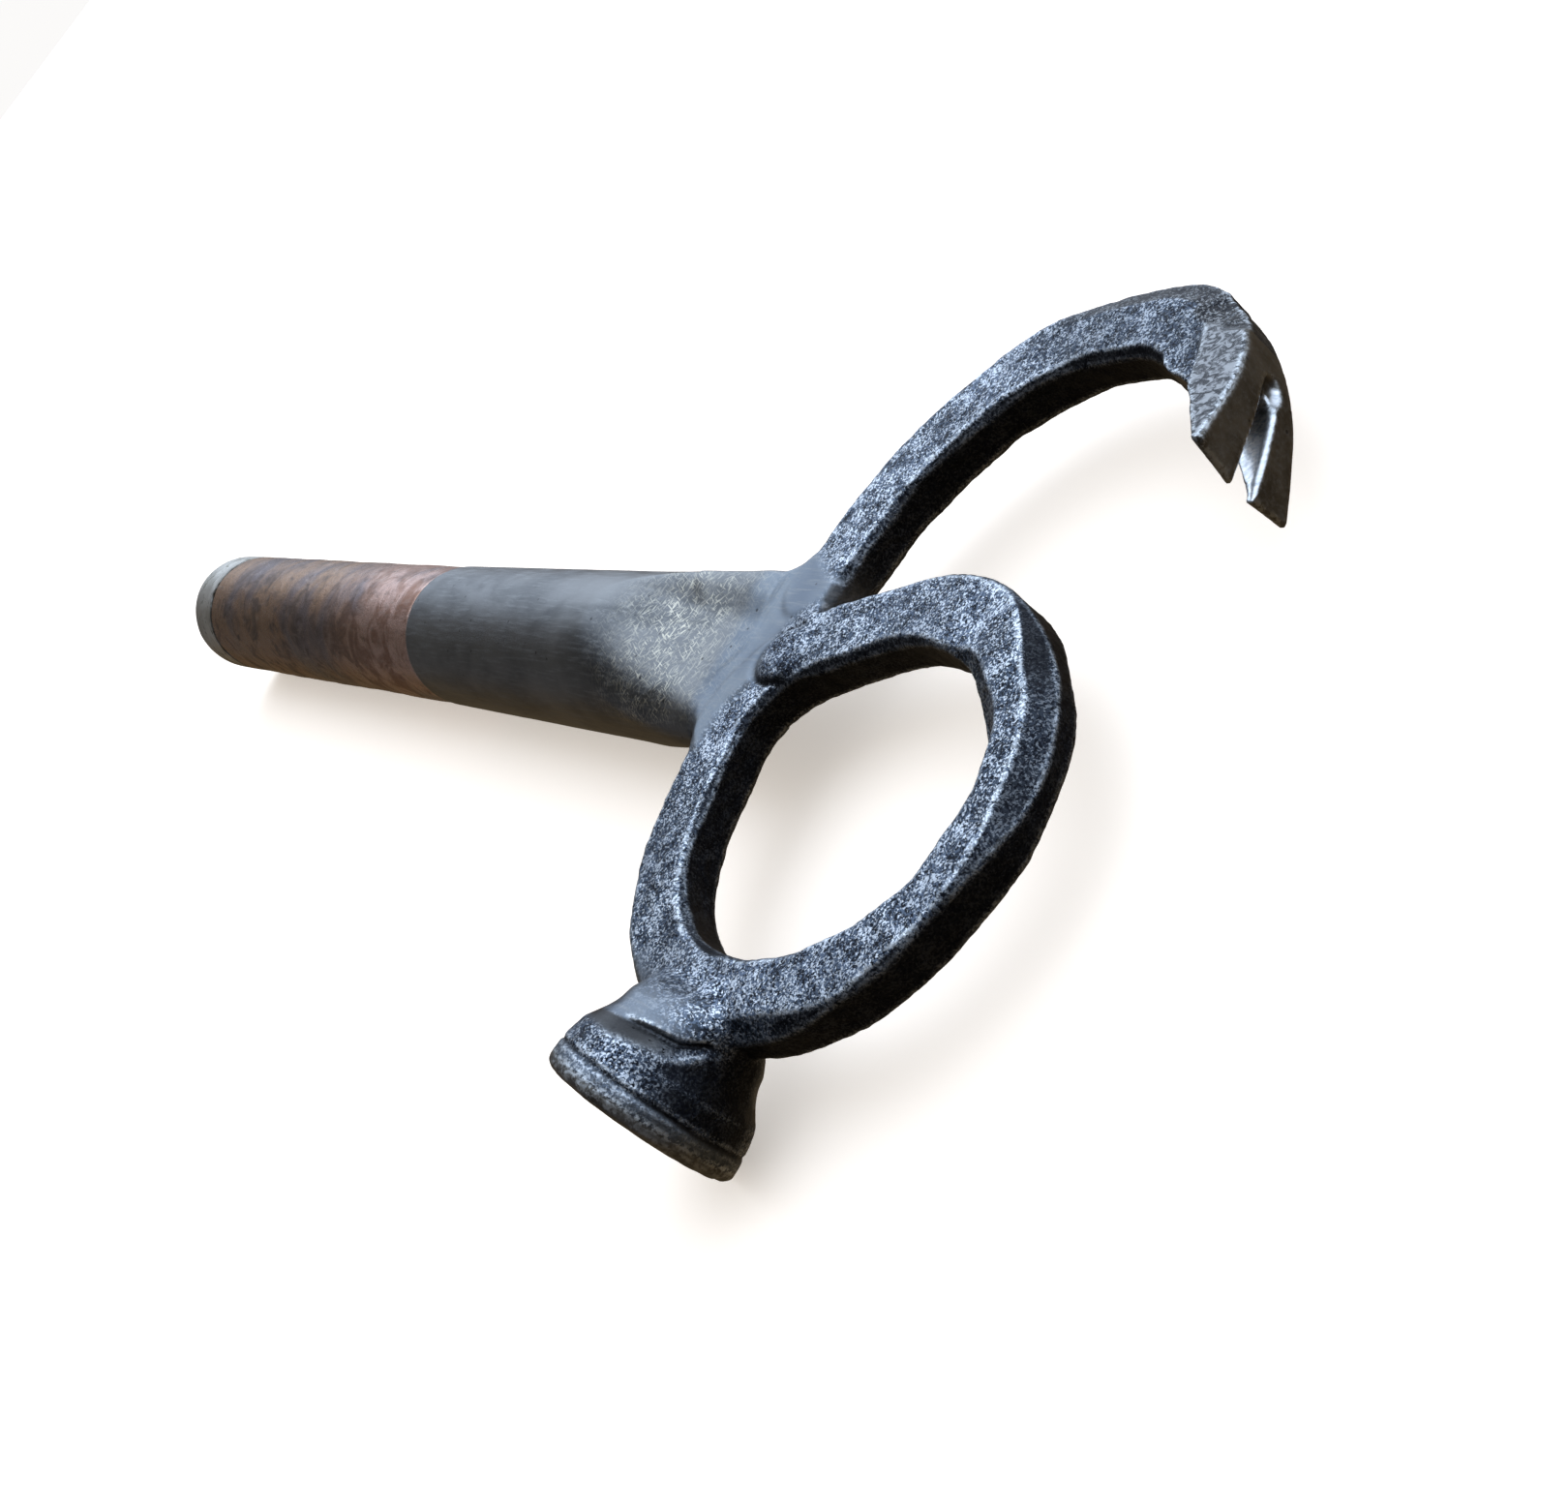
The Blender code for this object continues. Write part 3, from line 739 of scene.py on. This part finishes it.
def finishes(points, normals, bulge):
    """How each place on the steel looks."""
    x, y, z = points.T
    p = plan(x, y)
    height = np.abs(z)
    level = np.abs(normals[:, 2])
    poll = poll_finishes(p, z, height, level)
    claw = claw_finishes(p, height, level)

    weld = ramp(p["weld"], 2.4, -1.2) * ramp(height, 2.0, 3.6)
    weld *= ramp(np.hypot(x - 9.0, y - 2.5), 6.0, 9.5)
    handle = ramp(x, -9.0, -13.0)
    ground = np.maximum(weld, handle)
    smooth = most(ground, poll["face"], claw["ground"] * 0.8, poll["neck"] * 0.92, poll["rim"] * 0.85,
                  poll["hollow"] * 0.8, poll["collar"] * 0.4)

    arm_bevel = ramp(x, 24.0, 38.0) * (y > 50.0) * ramp(p["arm"], ARM_HALF_W - 4.1, ARM_HALF_W - 3.6)
    brown_edge = most(arm_bevel, claw["bevel"], claw["ground"] * ramp(level, 0.84, 0.74))
    warm = most(brown_edge, poll["face"], poll["rim"], handle * 0.6, poll["hollow"] * 0.8)
    hatch = peak(x, -24.0, 12.0) * ramp(height, 2.5, 5.0)

    inner_facet = ramp(x, 40.0, 48.0) * (p["ring"] > 0.0) * (p["ring"] < RING_HALF_W + 1.0)
    # Painted sheen: faces turned up get light scale and side faces near-black scale, as light from above
    # would show them. Ridges and a spot on the neck get more as painted highlight, and the fold's hollow and
    # the brown bevels get less as painted shade.
    steep = np.where(near_poll(p), ramp(level, 0.40, 0.92), ramp(level, 0.66, 0.88))
    steep = np.maximum(steep, 0.8 * inner_facet * ramp(level, 0.40, 0.64))
    patches = 0.80 + 0.28 * noise(x, y, z, 11.0, 51) + 0.18 * noise(x, y, z, 3.5, 52)
    painted_sheen = (0.05 + 0.95 * steep) * patches * (1.0 - 0.40 * ramp(x, 20.0, 44.0) * ramp(y, 40.0, 52.0))
    painted_sheen = np.clip(painted_sheen + 0.30 * ramp(bulge, 0.15, 0.8) + 0.6 * poll["painted_neck_highlight"], 0.0, 1.0)
    painted_sheen = painted_sheen * (1.0 - 0.7 * poll["hollow"]) * (1.0 - 0.6 * brown_edge)
    # Bright ridges: rubbed wear and the chipped rim, and painted highlight, as ridges on faces turned up and
    # the claw facet's edge line get more.
    worn = ramp(bulge, 0.30, 1.2) * (0.35 + 0.65 * steep) * (1.0 - 0.85 * ground)
    wear_and_painted_highlight = most(worn, 0.8 * claw["ridge"], poll["chips"])

    # Painted shade in the crease round the lobe and in the fold's hollow. Hollows, the groove before the face
    # and the file marks by the arm root are darker too.
    past_lobe = lobe_field(p, z, height)
    crease = peak(past_lobe, 0.25, 0.35) * ramp(x, 8.0, 4.0) * ramp(z, 3.0, 4.2)
    filed = 0.4 * peak(x, 10.0, 4.472) * peak(y, 11.0, 4.472) * ramp(level, 0.7, 0.3)
    painted_shade_and_darkening = most(ramp(-bulge, 0.35, 1.5), poll["groove"] * 0.8, poll["hollow"], 0.35 * crease, 0.8 * filed)
    bright = most(claw["slot"], filed)
    return dict(zip(STEEL_SHARES, (1.0 - smooth, warm, hatch, painted_sheen, bright, claw["facet"], wear_and_painted_highlight, painted_shade_and_darkening)))


def hammered(points, grit):
    """Height in millimetres of hammer marks and pitted scale."""
    x, y, z = points.T
    marks = 0.10 * noise(x, y, z, 5.0, 21) + 0.05 * noise(x, y, z, 2.4, 22)
    pits = 0.075 * noise(x, y, z, 1.3, 23) + 0.05 * noise(x, y, z, 0.8, 24)
    return marks * (0.25 + 0.75 * grit) + pits * (0.06 + 0.94 * grit)


def to_world(points):
    """Millimetres of the head frame to metres of the world."""
    return points * MM + np.array(JOINT, np.float32)


def make_mesh(name, points, quads, values, normals=None):
    """A Blender object in the world frame, from points, quads and what each material attribute is there."""
    mesh = bpy.data.meshes.new(name)
    mesh.vertices.add(len(points))
    mesh.vertices.foreach_set("co", points.astype(np.float32).ravel())
    mesh.loops.add(quads.size)
    mesh.loops.foreach_set("vertex_index", quads.astype(np.int32).ravel())
    mesh.polygons.add(len(quads))
    mesh.polygons.foreach_set("loop_start", np.arange(0, quads.size, 4, dtype=np.int32))
    mesh.update(calc_edges=True)
    mesh.shade_smooth()
    for key, value in values.items():
        attribute = mesh.attributes.new(key, "FLOAT", "POINT")
        attribute.data.foreach_set("value", value.astype(np.float32))
    if normals is not None:
        mesh.normals_split_custom_set_from_vertices(normals.astype(np.float32))
    obj = bpy.data.objects.new(name, mesh)
    bpy.context.scene.collection.objects.link(obj)
    return obj


def attach(obj, node, material):
    """Gives a piece its material, and its place in the frame."""
    obj.data.materials.append(material)
    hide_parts(node)
    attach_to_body(obj, "root")


# ---- Materials ----

class Nodes:
    """Builds the node tree of a material or of the world."""

    def __init__(self, owner, coordinates="Object"):
        owner.use_nodes = True
        self.owner = owner
        self.tree = owner.node_tree
        self.place = self.add("ShaderNodeTexCoord").outputs[coordinates]

    def add(self, kind, inputs=None, **settings):
        """A new node with these settings and inputs."""
        node = self.tree.nodes.new(kind)
        for key, value in settings.items():
            setattr(node, key, value)
        for key, value in (inputs or {}).items():
            self.put(value, node.inputs[key])
        return node

    def put(self, value, socket):
        """Links an output to a socket, or sets a plain value on it."""
        if isinstance(value, bpy.types.NodeSocket):
            self.tree.links.new(value, socket)
        elif isinstance(value, tuple) and len(value) == 3 and socket.type == "RGBA":
            socket.default_value = (*value, 1.0)
        else:
            socket.default_value = value

    def attribute(self, name):
        return self.add("ShaderNodeAttribute", attribute_name=name).outputs["Fac"]

    def noise(self, scale, detail=3.0, rough=0.6, distortion=0.0, stretch=None):
        """Noise, drawn out by a stretch of (rotation, lengths)."""
        place = self.place
        if stretch is not None:
            turned_place = {"Vector": place, "Rotation": stretch[0], "Scale": stretch[1]}
            place = self.add("ShaderNodeMapping", turned_place, vector_type="TEXTURE").outputs["Vector"]
        inputs = {"Vector": place, "Scale": scale, "Detail": detail, "Roughness": rough,
                  "Distortion": distortion}
        return self.add("ShaderNodeTexNoise", inputs).outputs["Fac"]

    def cells(self, scale):
        inputs = {"Vector": self.place, "Scale": scale}
        return self.add("ShaderNodeTexVoronoi", inputs).outputs["Distance"]

    def scale(self, value, start, end, low=0.0, high=1.0):
        """Smooth step of a value from start to end."""
        inputs = {"Value": value, "From Min": start, "From Max": end, "To Min": low, "To Max": high}
        node = self.add("ShaderNodeMapRange", inputs, interpolation_type="SMOOTHSTEP")
        return node.outputs["Result"]

    def math(self, operation, a, b):
        clamp = operation != "MULTIPLY"
        return self.add("ShaderNodeMath", {0: a, 1: b}, operation=operation, use_clamp=clamp).outputs["Value"]

    def times(self, a, b):
        return self.math("MULTIPLY", a, b)

    def plus(self, a, b):
        return self.math("ADD", a, b)

    def most(self, a, b):
        return self.math("MAXIMUM", a, b)

    def mix(self, share, a, b):
        """A colour between two colours."""
        return self.add("ShaderNodeMix", {0: share, 6: a, 7: b}, data_type="RGBA").outputs[2]

    def blend(self, share, a, b):
        """A number between two numbers."""
        return self.add("ShaderNodeMix", {0: share, 2: a, 3: b}, data_type="FLOAT").outputs[0]

    def bump(self, height, distance, strength=1.0, below=None):
        """Normals of a relief, laid over those of another one."""
        inputs = {"Height": height, "Distance": distance, "Strength": strength}
        if below is not None:
            inputs["Normal"] = below
        return self.add("ShaderNodeBump", inputs).outputs["Normal"]

    def finish(self, colour, rough, metallic, normal):
        """The material, with its shader's inputs set."""
        shader = self.tree.nodes["Principled BSDF"]
        values = {"Base Color": colour, "Roughness": rough, "Metallic": metallic, "Normal": normal}
        for name, value in values.items():
            self.put(value, shader.inputs[name])
        return self.owner


def scale_look(n, painted_sheen, warm, pit, patch, broad):
    """Colour of forge scale with painted sheen: light blue-grey where the painted sheen is high, on faces
    turned up, and near black on the side faces.
    """
    fleck = n.noise(2500.0, detail=2.0, distortion=0.5)
    pitted = n.scale(n.plus(n.times(pit, 0.78), n.times(patch, 0.22)), 0.512, 0.468)
    flecks = n.scale(n.plus(n.times(fleck, 0.70), n.times(patch, 0.30)), 0.522, 0.562)
    # Painted glints: near-white flecks, only where the painted sheen is high, and smoother there.
    painted_glints = n.times(flecks, painted_sheen)
    body = n.mix(n.scale(broad, 0.3, 0.7), (0.10, 0.135, 0.19), (0.175, 0.225, 0.31))
    # Painted shade: where the painted sheen is low, on the side faces, the scale is near black.
    body = n.mix(painted_sheen, (0.016, 0.016, 0.017), body)
    brown = n.mix(flecks, (0.035, 0.031, 0.027), (0.16, 0.15, 0.13))
    body = n.mix(n.times(warm, 0.8), body, brown)
    colour = n.mix(n.times(pitted, 0.94), body, (0.009, 0.010, 0.014))
    return n.mix(painted_glints, colour, (0.86, 0.92, 0.98)), painted_glints


def ground_look(n, warm, patch, broad, along, scratches):
    """Colour of ground steel: fine scratches along the handle, crossed ones by the head, and a few pits."""
    stain = n.noise(75.0, detail=4.0, distortion=0.5, stretch=((0, 0, 0), (2.2, 1.0, 1.0)))
    pits = n.scale(n.cells(260.0), 0.10, 0.05)
    colour = n.mix(n.scale(broad, 0.3, 0.7), (0.15, 0.18, 0.22), (0.24, 0.27, 0.30))
    stained = n.mix(n.scale(stain, 0.35, 0.6), (0.085, 0.076, 0.060), (0.26, 0.25, 0.23))
    colour = n.mix(warm, colour, stained)
    colour = n.mix(n.times(n.scale(along, 0.45, 0.75), 0.45), colour, (0.40, 0.41, 0.41))
    clouds = n.scale(patch, 0.40, 0.62)
    colour = n.mix(n.times(scratches, n.plus(n.times(clouds, 0.6), 0.4)), colour, (0.70, 0.67, 0.56))
    return n.mix(n.times(pits, 0.8), colour, (0.05, 0.05, 0.05))


def steel_material():
    """Forged steel: pitted blue-black scale, ground steel at the welds and the handle, bright wear, and
    painted sheen, glints, highlights and shade.
    """
    n = Nodes(bpy.data.materials.new("forged steel"))
    grit, warm, hatch, painted_sheen, bright, facet, wear_and_painted_highlight, painted_shade_and_darkening = map(n.attribute, STEEL_SHARES)
    pit = n.noise(2000.0, distortion=0.6)
    patch = n.noise(330.0)
    broad = n.noise(70.0, detail=2.0)
    along = n.noise(1500.0, rough=0.7, stretch=((0, 0, 0), (12.0, 1.0, 1.0)))
    crossed = [n.noise(size, detail=1.0, rough=0.5, stretch=((0.0, 0.0, angle), (7.0, 1.0, 3.0)))
               for size, angle in ((3700.0, 0.85), (3700.0, -0.50), (3200.0, 1.45))]
    scratches = n.times(n.scale(n.most(n.most(crossed[0], crossed[1]), crossed[2]), 0.58, 0.68), hatch)
    filed = n.noise(1500.0, detail=2.0, stretch=((0.3, 0.8, 0.4), (10.0, 1.0, 1.0)))
    torn = n.noise(620.0, detail=5.0, rough=0.7, distortion=1.2)
    chipped = n.scale(n.noise(1100.0, rough=0.7), 0.44, 0.56)

    scale_colour, painted_glints = scale_look(n, painted_sheen, warm, pit, patch, broad)
    colour = n.mix(grit, ground_look(n, warm, patch, broad, along, scratches), scale_colour)
    facet_colour = n.mix(n.scale(torn, 0.44, 0.58), (0.040, 0.042, 0.046), (0.36, 0.37, 0.38))
    colour = n.mix(facet, colour, facet_colour)
    colour = n.mix(bright, colour, n.mix(n.scale(filed, 0.35, 0.65), (0.62, 0.66, 0.70), (1.0, 1.0, 1.0)))
    # Wear and painted highlight: pale steel on ridges, broken into chips.
    colour = n.mix(n.times(wear_and_painted_highlight, chipped), colour, (0.80, 0.85, 0.88))
    # Near black where the painted shade and the other darkening are.
    colour = n.mix(n.times(painted_shade_and_darkening, 0.80), colour, (0.016, 0.016, 0.018))

    rough = n.blend(grit, n.scale(along, 0.3, 0.7, 0.28, 0.40), n.blend(painted_glints, 0.50, 0.34))
    rough = n.blend(bright, rough, 0.30)
    rugged = n.plus(n.times(n.plus(n.times(pit, 0.5), n.times(patch, 0.5)), grit), n.times(torn, facet))
    fine = n.bump(rugged, 0.0004, 0.6)
    marked = n.bump(n.plus(n.times(along, 0.3), n.times(scratches, 0.5)), 0.00005, 0.5, fine)
    return n.finish(colour, rough, 1.0, marked)


def copper_material():
    """Aged copper: brown and purple patches, pinker where it is handled near the head."""
    n = Nodes(bpy.data.materials.new("aged copper"))
    fresh, edge = n.attribute("fresh"), n.attribute("edge")
    broad = n.noise(42.0, distortion=0.4)
    blotch = n.noise(130.0, detail=4.0, rough=0.65, distortion=0.8)
    fine = n.noise(1300.0, detail=4.0, rough=0.7)
    along = n.noise(520.0, detail=4.0, rough=0.7, stretch=((0, 0, 0), (3.0, 1.0, 1.0)))
    aged = n.mix(n.scale(broad, 0.36, 0.60), (0.23, 0.175, 0.18), (0.47, 0.275, 0.155))
    aged = n.mix(n.scale(blotch, 0.46, 0.66, 0.0, 0.9), aged, (0.13, 0.085, 0.065))
    warm = n.mix(n.scale(blotch, 0.38, 0.60), (0.82, 0.54, 0.45), (0.40, 0.205, 0.135))
    colour = n.mix(n.times(fresh, n.scale(broad, 0.30, 0.52)), aged, warm)
    colour = n.mix(n.times(n.scale(along, 0.50, 0.70), 0.35), colour, (0.60, 0.46, 0.39))
    colour = n.mix(n.times(n.scale(along, 0.46, 0.32), 0.35), colour, (0.12, 0.08, 0.06))
    colour = n.mix(n.scale(n.cells(300.0), 0.12, 0.05, 0.0, 0.6), colour, (0.08, 0.05, 0.035))
    colour = n.mix(edge, colour, (0.75, 0.60, 0.52))
    colour = n.mix(n.attribute("grime"), colour, GRIME)
    rough = n.plus(n.scale(fine, 0.3, 0.7, 0.22, 0.34), n.times(n.scale(blotch, 0.4, 0.7), 0.12))
    dented = n.bump(n.plus(n.times(blotch, 0.7), n.times(along, 0.3)), 0.0005, 0.45)
    grain = n.bump(n.plus(n.times(fine, 0.5), n.times(along, 0.5)), 0.00005, 0.5, dented)
    return n.finish(colour, rough, 1.0, grain)


def cap_material():
    """Worn steel cap: silver on top, darker stains, fine grinding marks."""
    n = Nodes(bpy.data.materials.new("worn steel cap"))
    broad = n.noise(120.0)
    stain = n.noise(260.0, detail=4.0, distortion=0.8)
    grain = n.noise(900.0, stretch=((0, 0, 0), (1.0, 6.0, 6.0)))
    colour = n.mix(n.scale(broad, 0.35, 0.65), (0.64, 0.62, 0.55), (0.88, 0.86, 0.79))
    colour = n.mix(n.scale(stain, 0.50, 0.68), colour, (0.26, 0.24, 0.18))
    colour = n.mix(n.times(n.scale(grain, 0.5, 0.8), 0.4), colour, (0.75, 0.76, 0.78))
    colour = n.mix(n.attribute("grime"), colour, GRIME)
    rough = n.scale(stain, 0.4, 0.7, 0.30, 0.45)
    dented = n.bump(broad, 0.0004, 0.3)
    return n.finish(colour, rough, 1.0, n.bump(grain, 0.00005, 0.5, dented))


def floor_material():
    """Matt pale floor, which glows a little."""
    n = Nodes(bpy.data.materials.new("pale floor"))
    tone = n.noise(6.0)
    colour = n.mix(tone, (0.94, 0.87, 0.79), (0.93, 0.86, 0.78))
    shader = n.tree.nodes["Principled BSDF"]
    shader.inputs["Specular IOR Level"].default_value = 0.0
    n.put(colour, shader.inputs["Emission Color"])
    shader.inputs["Emission Strength"].default_value = 0.45
    return n.finish(colour, 0.9, 0.0, n.bump(tone, 0.001, 0.1))


# ---- Pieces ----

def make_steel_pieces(material):
    """The handle and the head's pieces, kept inside the frame's outline."""
    points, outer, quads, skin = shared_surface()
    points[outer] = settle(points[outer])
    normals = vertex_normals(points, skin)
    bulge = slopes(points, 0.7)[2]
    values = finishes(points, normals, bulge)
    raised = hammered(points, values["grit"])
    points = points + normals * (raised * outer)[:, None]
    normals = vertex_normals(points, skin)
    world = np.clip(to_world(points), np.array(cad_low, np.float32), np.array(cad_high, np.float32))
    for piece, (node, slot) in PIECES.items():
        used, local = np.unique(quads[piece], return_inverse=True)
        own = {key: value[used] for key, value in values.items()}
        obj = make_mesh("forged_" + node, world[used], local.reshape(-1, 4), own, normals[used])
        attach(obj, node, material)


def turned(profile, segments, wobble):
    """Vertices and quads of a closed profile of (x, radius) turned about the handle's axis and dented."""
    profile = np.array(profile, np.float32)
    angle = np.tile(np.linspace(0.0, 2 * pi, segments, endpoint=False), (len(profile), 1))
    x, radius = wobble(*np.repeat(profile.T[:, :, None], segments, 2), angle)
    points = np.stack([x, radius * np.cos(angle), radius * np.sin(angle)], 2).reshape(-1, 3)
    row = np.arange(len(profile))[:, None] * segments
    next_row = np.roll(row, -1, 0)
    turn = np.arange(segments)[None, :]
    next_turn = np.roll(turn, -1, 1)
    corners = [row + turn, row + next_turn, next_row + next_turn, next_row + turn]
    return points, np.stack(corners, 2).reshape(-1, 4)


def angle_round(points):
    """Angle of each point about the handle's axis."""
    return np.arctan2(points[:, 2], points[:, 1])


def chips(x, angle, seed):
    """How far an edge is broken back, in millimetres."""
    y, z = 16.0 * np.cos(angle), 16.0 * np.sin(angle)
    coarse = np.maximum(noise(0 * x, y, z, 4.0, seed) - 0.1, 0.0)
    return 0.7 * coarse + 0.16 * (1.0 + noise(0 * x, y, z, 1.1, seed + 1))


def make_sleeve():
    """Copper sleeve, dented, with a rubbed edge at the head end and a broken one at the cap."""
    outside = np.linspace(SLEEVE_HEAD_X, SLEEVE_END_X, 220)
    taper = (SLEEVE_HEAD_X - outside) / (SLEEVE_HEAD_X - SLEEVE_END_X)
    radius = HANDLE_R + (SLEEVE_END_R - HANDLE_R) * taper
    radius[[0, -1]] -= (0.3, 0.45)
    inner_r = HANDLE_R - SLEEVE_WALL
    profile = list(zip(outside, radius)) + [(SLEEVE_END_X, inner_r), (SLEEVE_HEAD_X, inner_r)]

    def dents(x, radius, angle):
        y, z = 15.5 * np.cos(angle), 15.5 * np.sin(angle)
        deep = 0.16 * noise(x, y, z, 16.0, 31) + 0.09 * noise(x, y, z, 7.0, 32)
        deep = deep + 0.03 * noise(x, y, z, 2.5, 33)
        radius = radius + np.where(radius > inner_r + 0.5, deep - SLEEVE_SINK, 0.0)
        x = x + np.where(x < SLEEVE_END_X + 1.0, chips(x, angle, 34), 0.0)
        return x, radius

    points, quads = turned(profile, 240, dents)
    x = points[:, 0]
    fresh = ramp(x, SLEEVE_HEAD_X - 75.0, SLEEVE_HEAD_X - 10.0)
    edge = ramp(x, SLEEVE_HEAD_X - 0.9, SLEEVE_HEAD_X - 0.3)
    at_seam = ramp(x - SLEEVE_END_X - chips(x, angle_round(points), 34), 1.0, 0.1)
    grime = at_seam * (0.6 + 0.4 * noise(x, points[:, 1], points[:, 2], 3.0, 35))
    values = {"fresh": fresh, "edge": edge * 0.8, "grime": grime}
    obj = make_mesh("copper_wrap", to_world(points), quads, values)
    obj.data.set_sharp_from_angle(angle=radians(40))
    attach(obj, "copper_sleeve", copper_material())


def make_cap():
    """Steel cap, dented, with a rounded rim and a broken edge along its seam with the sleeve."""
    arc = [(CAP_END_X + CAP_RIM - CAP_RIM * sin(a), SLEEVE_END_R - CAP_RIM + CAP_RIM * cos(a))
           for a in np.linspace(0.0, pi / 2, 14)]
    face = [(CAP_END_X, r) for r in np.linspace(arc[-1][1] - 1.2, CAP_CENTRE_R, 10)]
    side = [(x, SLEEVE_END_R) for x in np.linspace(CAP_HEAD_X - 0.4, CAP_END_X + CAP_RIM + 0.8, 24)]
    profile = [(CAP_HEAD_X, CAP_CENTRE_R), (CAP_HEAD_X, SLEEVE_END_R - 0.5)] + side + arc + face

    def dents(x, radius, angle):
        y, z = radius * np.cos(angle), radius * np.sin(angle)
        deep = 0.14 * noise(x, y, z, 9.0, 41) + 0.06 * noise(x, y, z, 3.0, 42)
        radius = radius + np.where(radius > 5.0, deep - CAP_SINK, 0.0)
        x = x + np.where(x < CAP_HEAD_X - CAP_RIM, 0.12 + 0.12 * noise(x, y, z, 6.0, 43), 0.0)
        x = x - np.where(x > CAP_HEAD_X - 0.6, chips(x, angle, 44), 0.0)
        return x, radius

    points, quads = turned(profile, 200, dents)
    x = points[:, 0]
    grime = ramp(CAP_HEAD_X - x - chips(x, angle_round(points), 44), 0.8, 0.1)
    obj = make_mesh("worn_cap", to_world(points), quads, {"grime": grime})
    obj.data.set_sharp_from_angle(angle=radians(50))
    attach(obj, "end_cap", cap_material())


# ---- Studio ----

def make_floor():
    """Pale floor out to a pale wall; neither shows in the object's reflections."""
    below = (0, 0, cad_low.z - FLOOR_DROP)
    bpy.ops.mesh.primitive_circle_add(vertices=96, radius=FLOOR_R, fill_type="NGON", location=below)
    floor = bpy.context.object
    floor.name = "studio_floor"
    floor.data.materials.append(floor_material())
    bpy.ops.mesh.primitive_cylinder_add(vertices=96, radius=WALL_R, depth=WALL_HEIGHT)
    wall = bpy.context.object
    wall.name = "studio_wall"
    paint = bpy.data.materials.new("pale wall")
    paint.use_nodes = True
    shader = paint.node_tree.nodes["Principled BSDF"]
    shader.inputs["Base Color"].default_value = (0.0, 0.0, 0.0, 1.0)
    shader.inputs["Emission Color"].default_value = (1.0, 0.99, 0.98, 1.0)
    shader.inputs["Emission Strength"].default_value = 0.96
    wall.data.materials.append(paint)
    wall.visible_diffuse = False
    wall.visible_shadow = False
    for stage_piece in (floor, wall):
        stage_piece.visible_glossy = False


def make_sky():
    """Cool soft light from one side above the horizon, fading round to a dim brown room."""
    world = bpy.data.worlds.new("studio sky")
    bpy.context.scene.world = world
    n = Nodes(world, "Generated")
    facing = n.add("ShaderNodeVectorMath", {0: n.place, 1: SKY_SIDE}, operation="DOT_PRODUCT")
    half = n.add("ShaderNodeMapRange", {"Value": facing.outputs["Value"], "From Min": -1.0})
    steps = n.add("ShaderNodeValToRGB", {"Fac": half.outputs["Result"]})
    steps.color_ramp.interpolation = "EASE"
    stops = steps.color_ramp.elements
    stops[0].position, stops[1].position = SKY_STEPS[0][0], SKY_STEPS[-1][0]
    for position, colour in SKY_STEPS[1:-1]:
        stops.new(position)
    for stop, (position, colour) in zip(stops, SKY_STEPS):
        stop.color = (*colour, 1.0)
    parts = n.add("ShaderNodeSeparateXYZ", {"Vector": n.place})
    above = n.scale(parts.outputs["Z"], -0.30, 0.12)
    n.put(n.mix(above, ROOM_BELOW, steps.outputs["Color"]), n.tree.nodes["Background"].inputs["Color"])


def make_lamp():
    """Very soft light from above for the floor; the sky alone makes the reflections."""
    data = bpy.data.lights.new("soft ceiling", "SUN")
    data.energy = LAMP_STRENGTH
    data.angle = LAMP_SPREAD
    lamp = bpy.data.objects.new("soft ceiling", data)
    bpy.context.scene.collection.objects.link(lamp)
    lamp.visible_glossy = False


def make_camera():
    """Close to the head, above it, and turned about its own line of sight."""
    flat = cos(CAMERA_ELEVATION)
    back = Vector((sin(CAMERA_AZIMUTH) * flat, -cos(CAMERA_AZIMUTH) * flat, sin(CAMERA_ELEVATION)))
    upright = (-back).to_track_quat("-Z", "Y").to_matrix()
    data = bpy.data.cameras.new("camera")
    data.lens = CAMERA_LENS
    data.clip_start = 0.01
    data.clip_end = 60.0
    camera = bpy.data.objects.new("camera", data)
    bpy.context.scene.collection.objects.link(camera)
    rolled = upright @ Matrix.Rotation(CAMERA_ROLL, 3, "Z")
    camera.matrix_world = Matrix.Translation(JOINT + CAMERA_FROM_JOINT) @ rolled.to_4x4()
    bpy.context.scene.camera = camera


make_camera()
make_floor()
make_sky()
make_lamp()
make_steel_pieces(steel_material())
make_sleeve()
make_cap()
bpy.context.scene.view_settings.view_transform = "Standard"
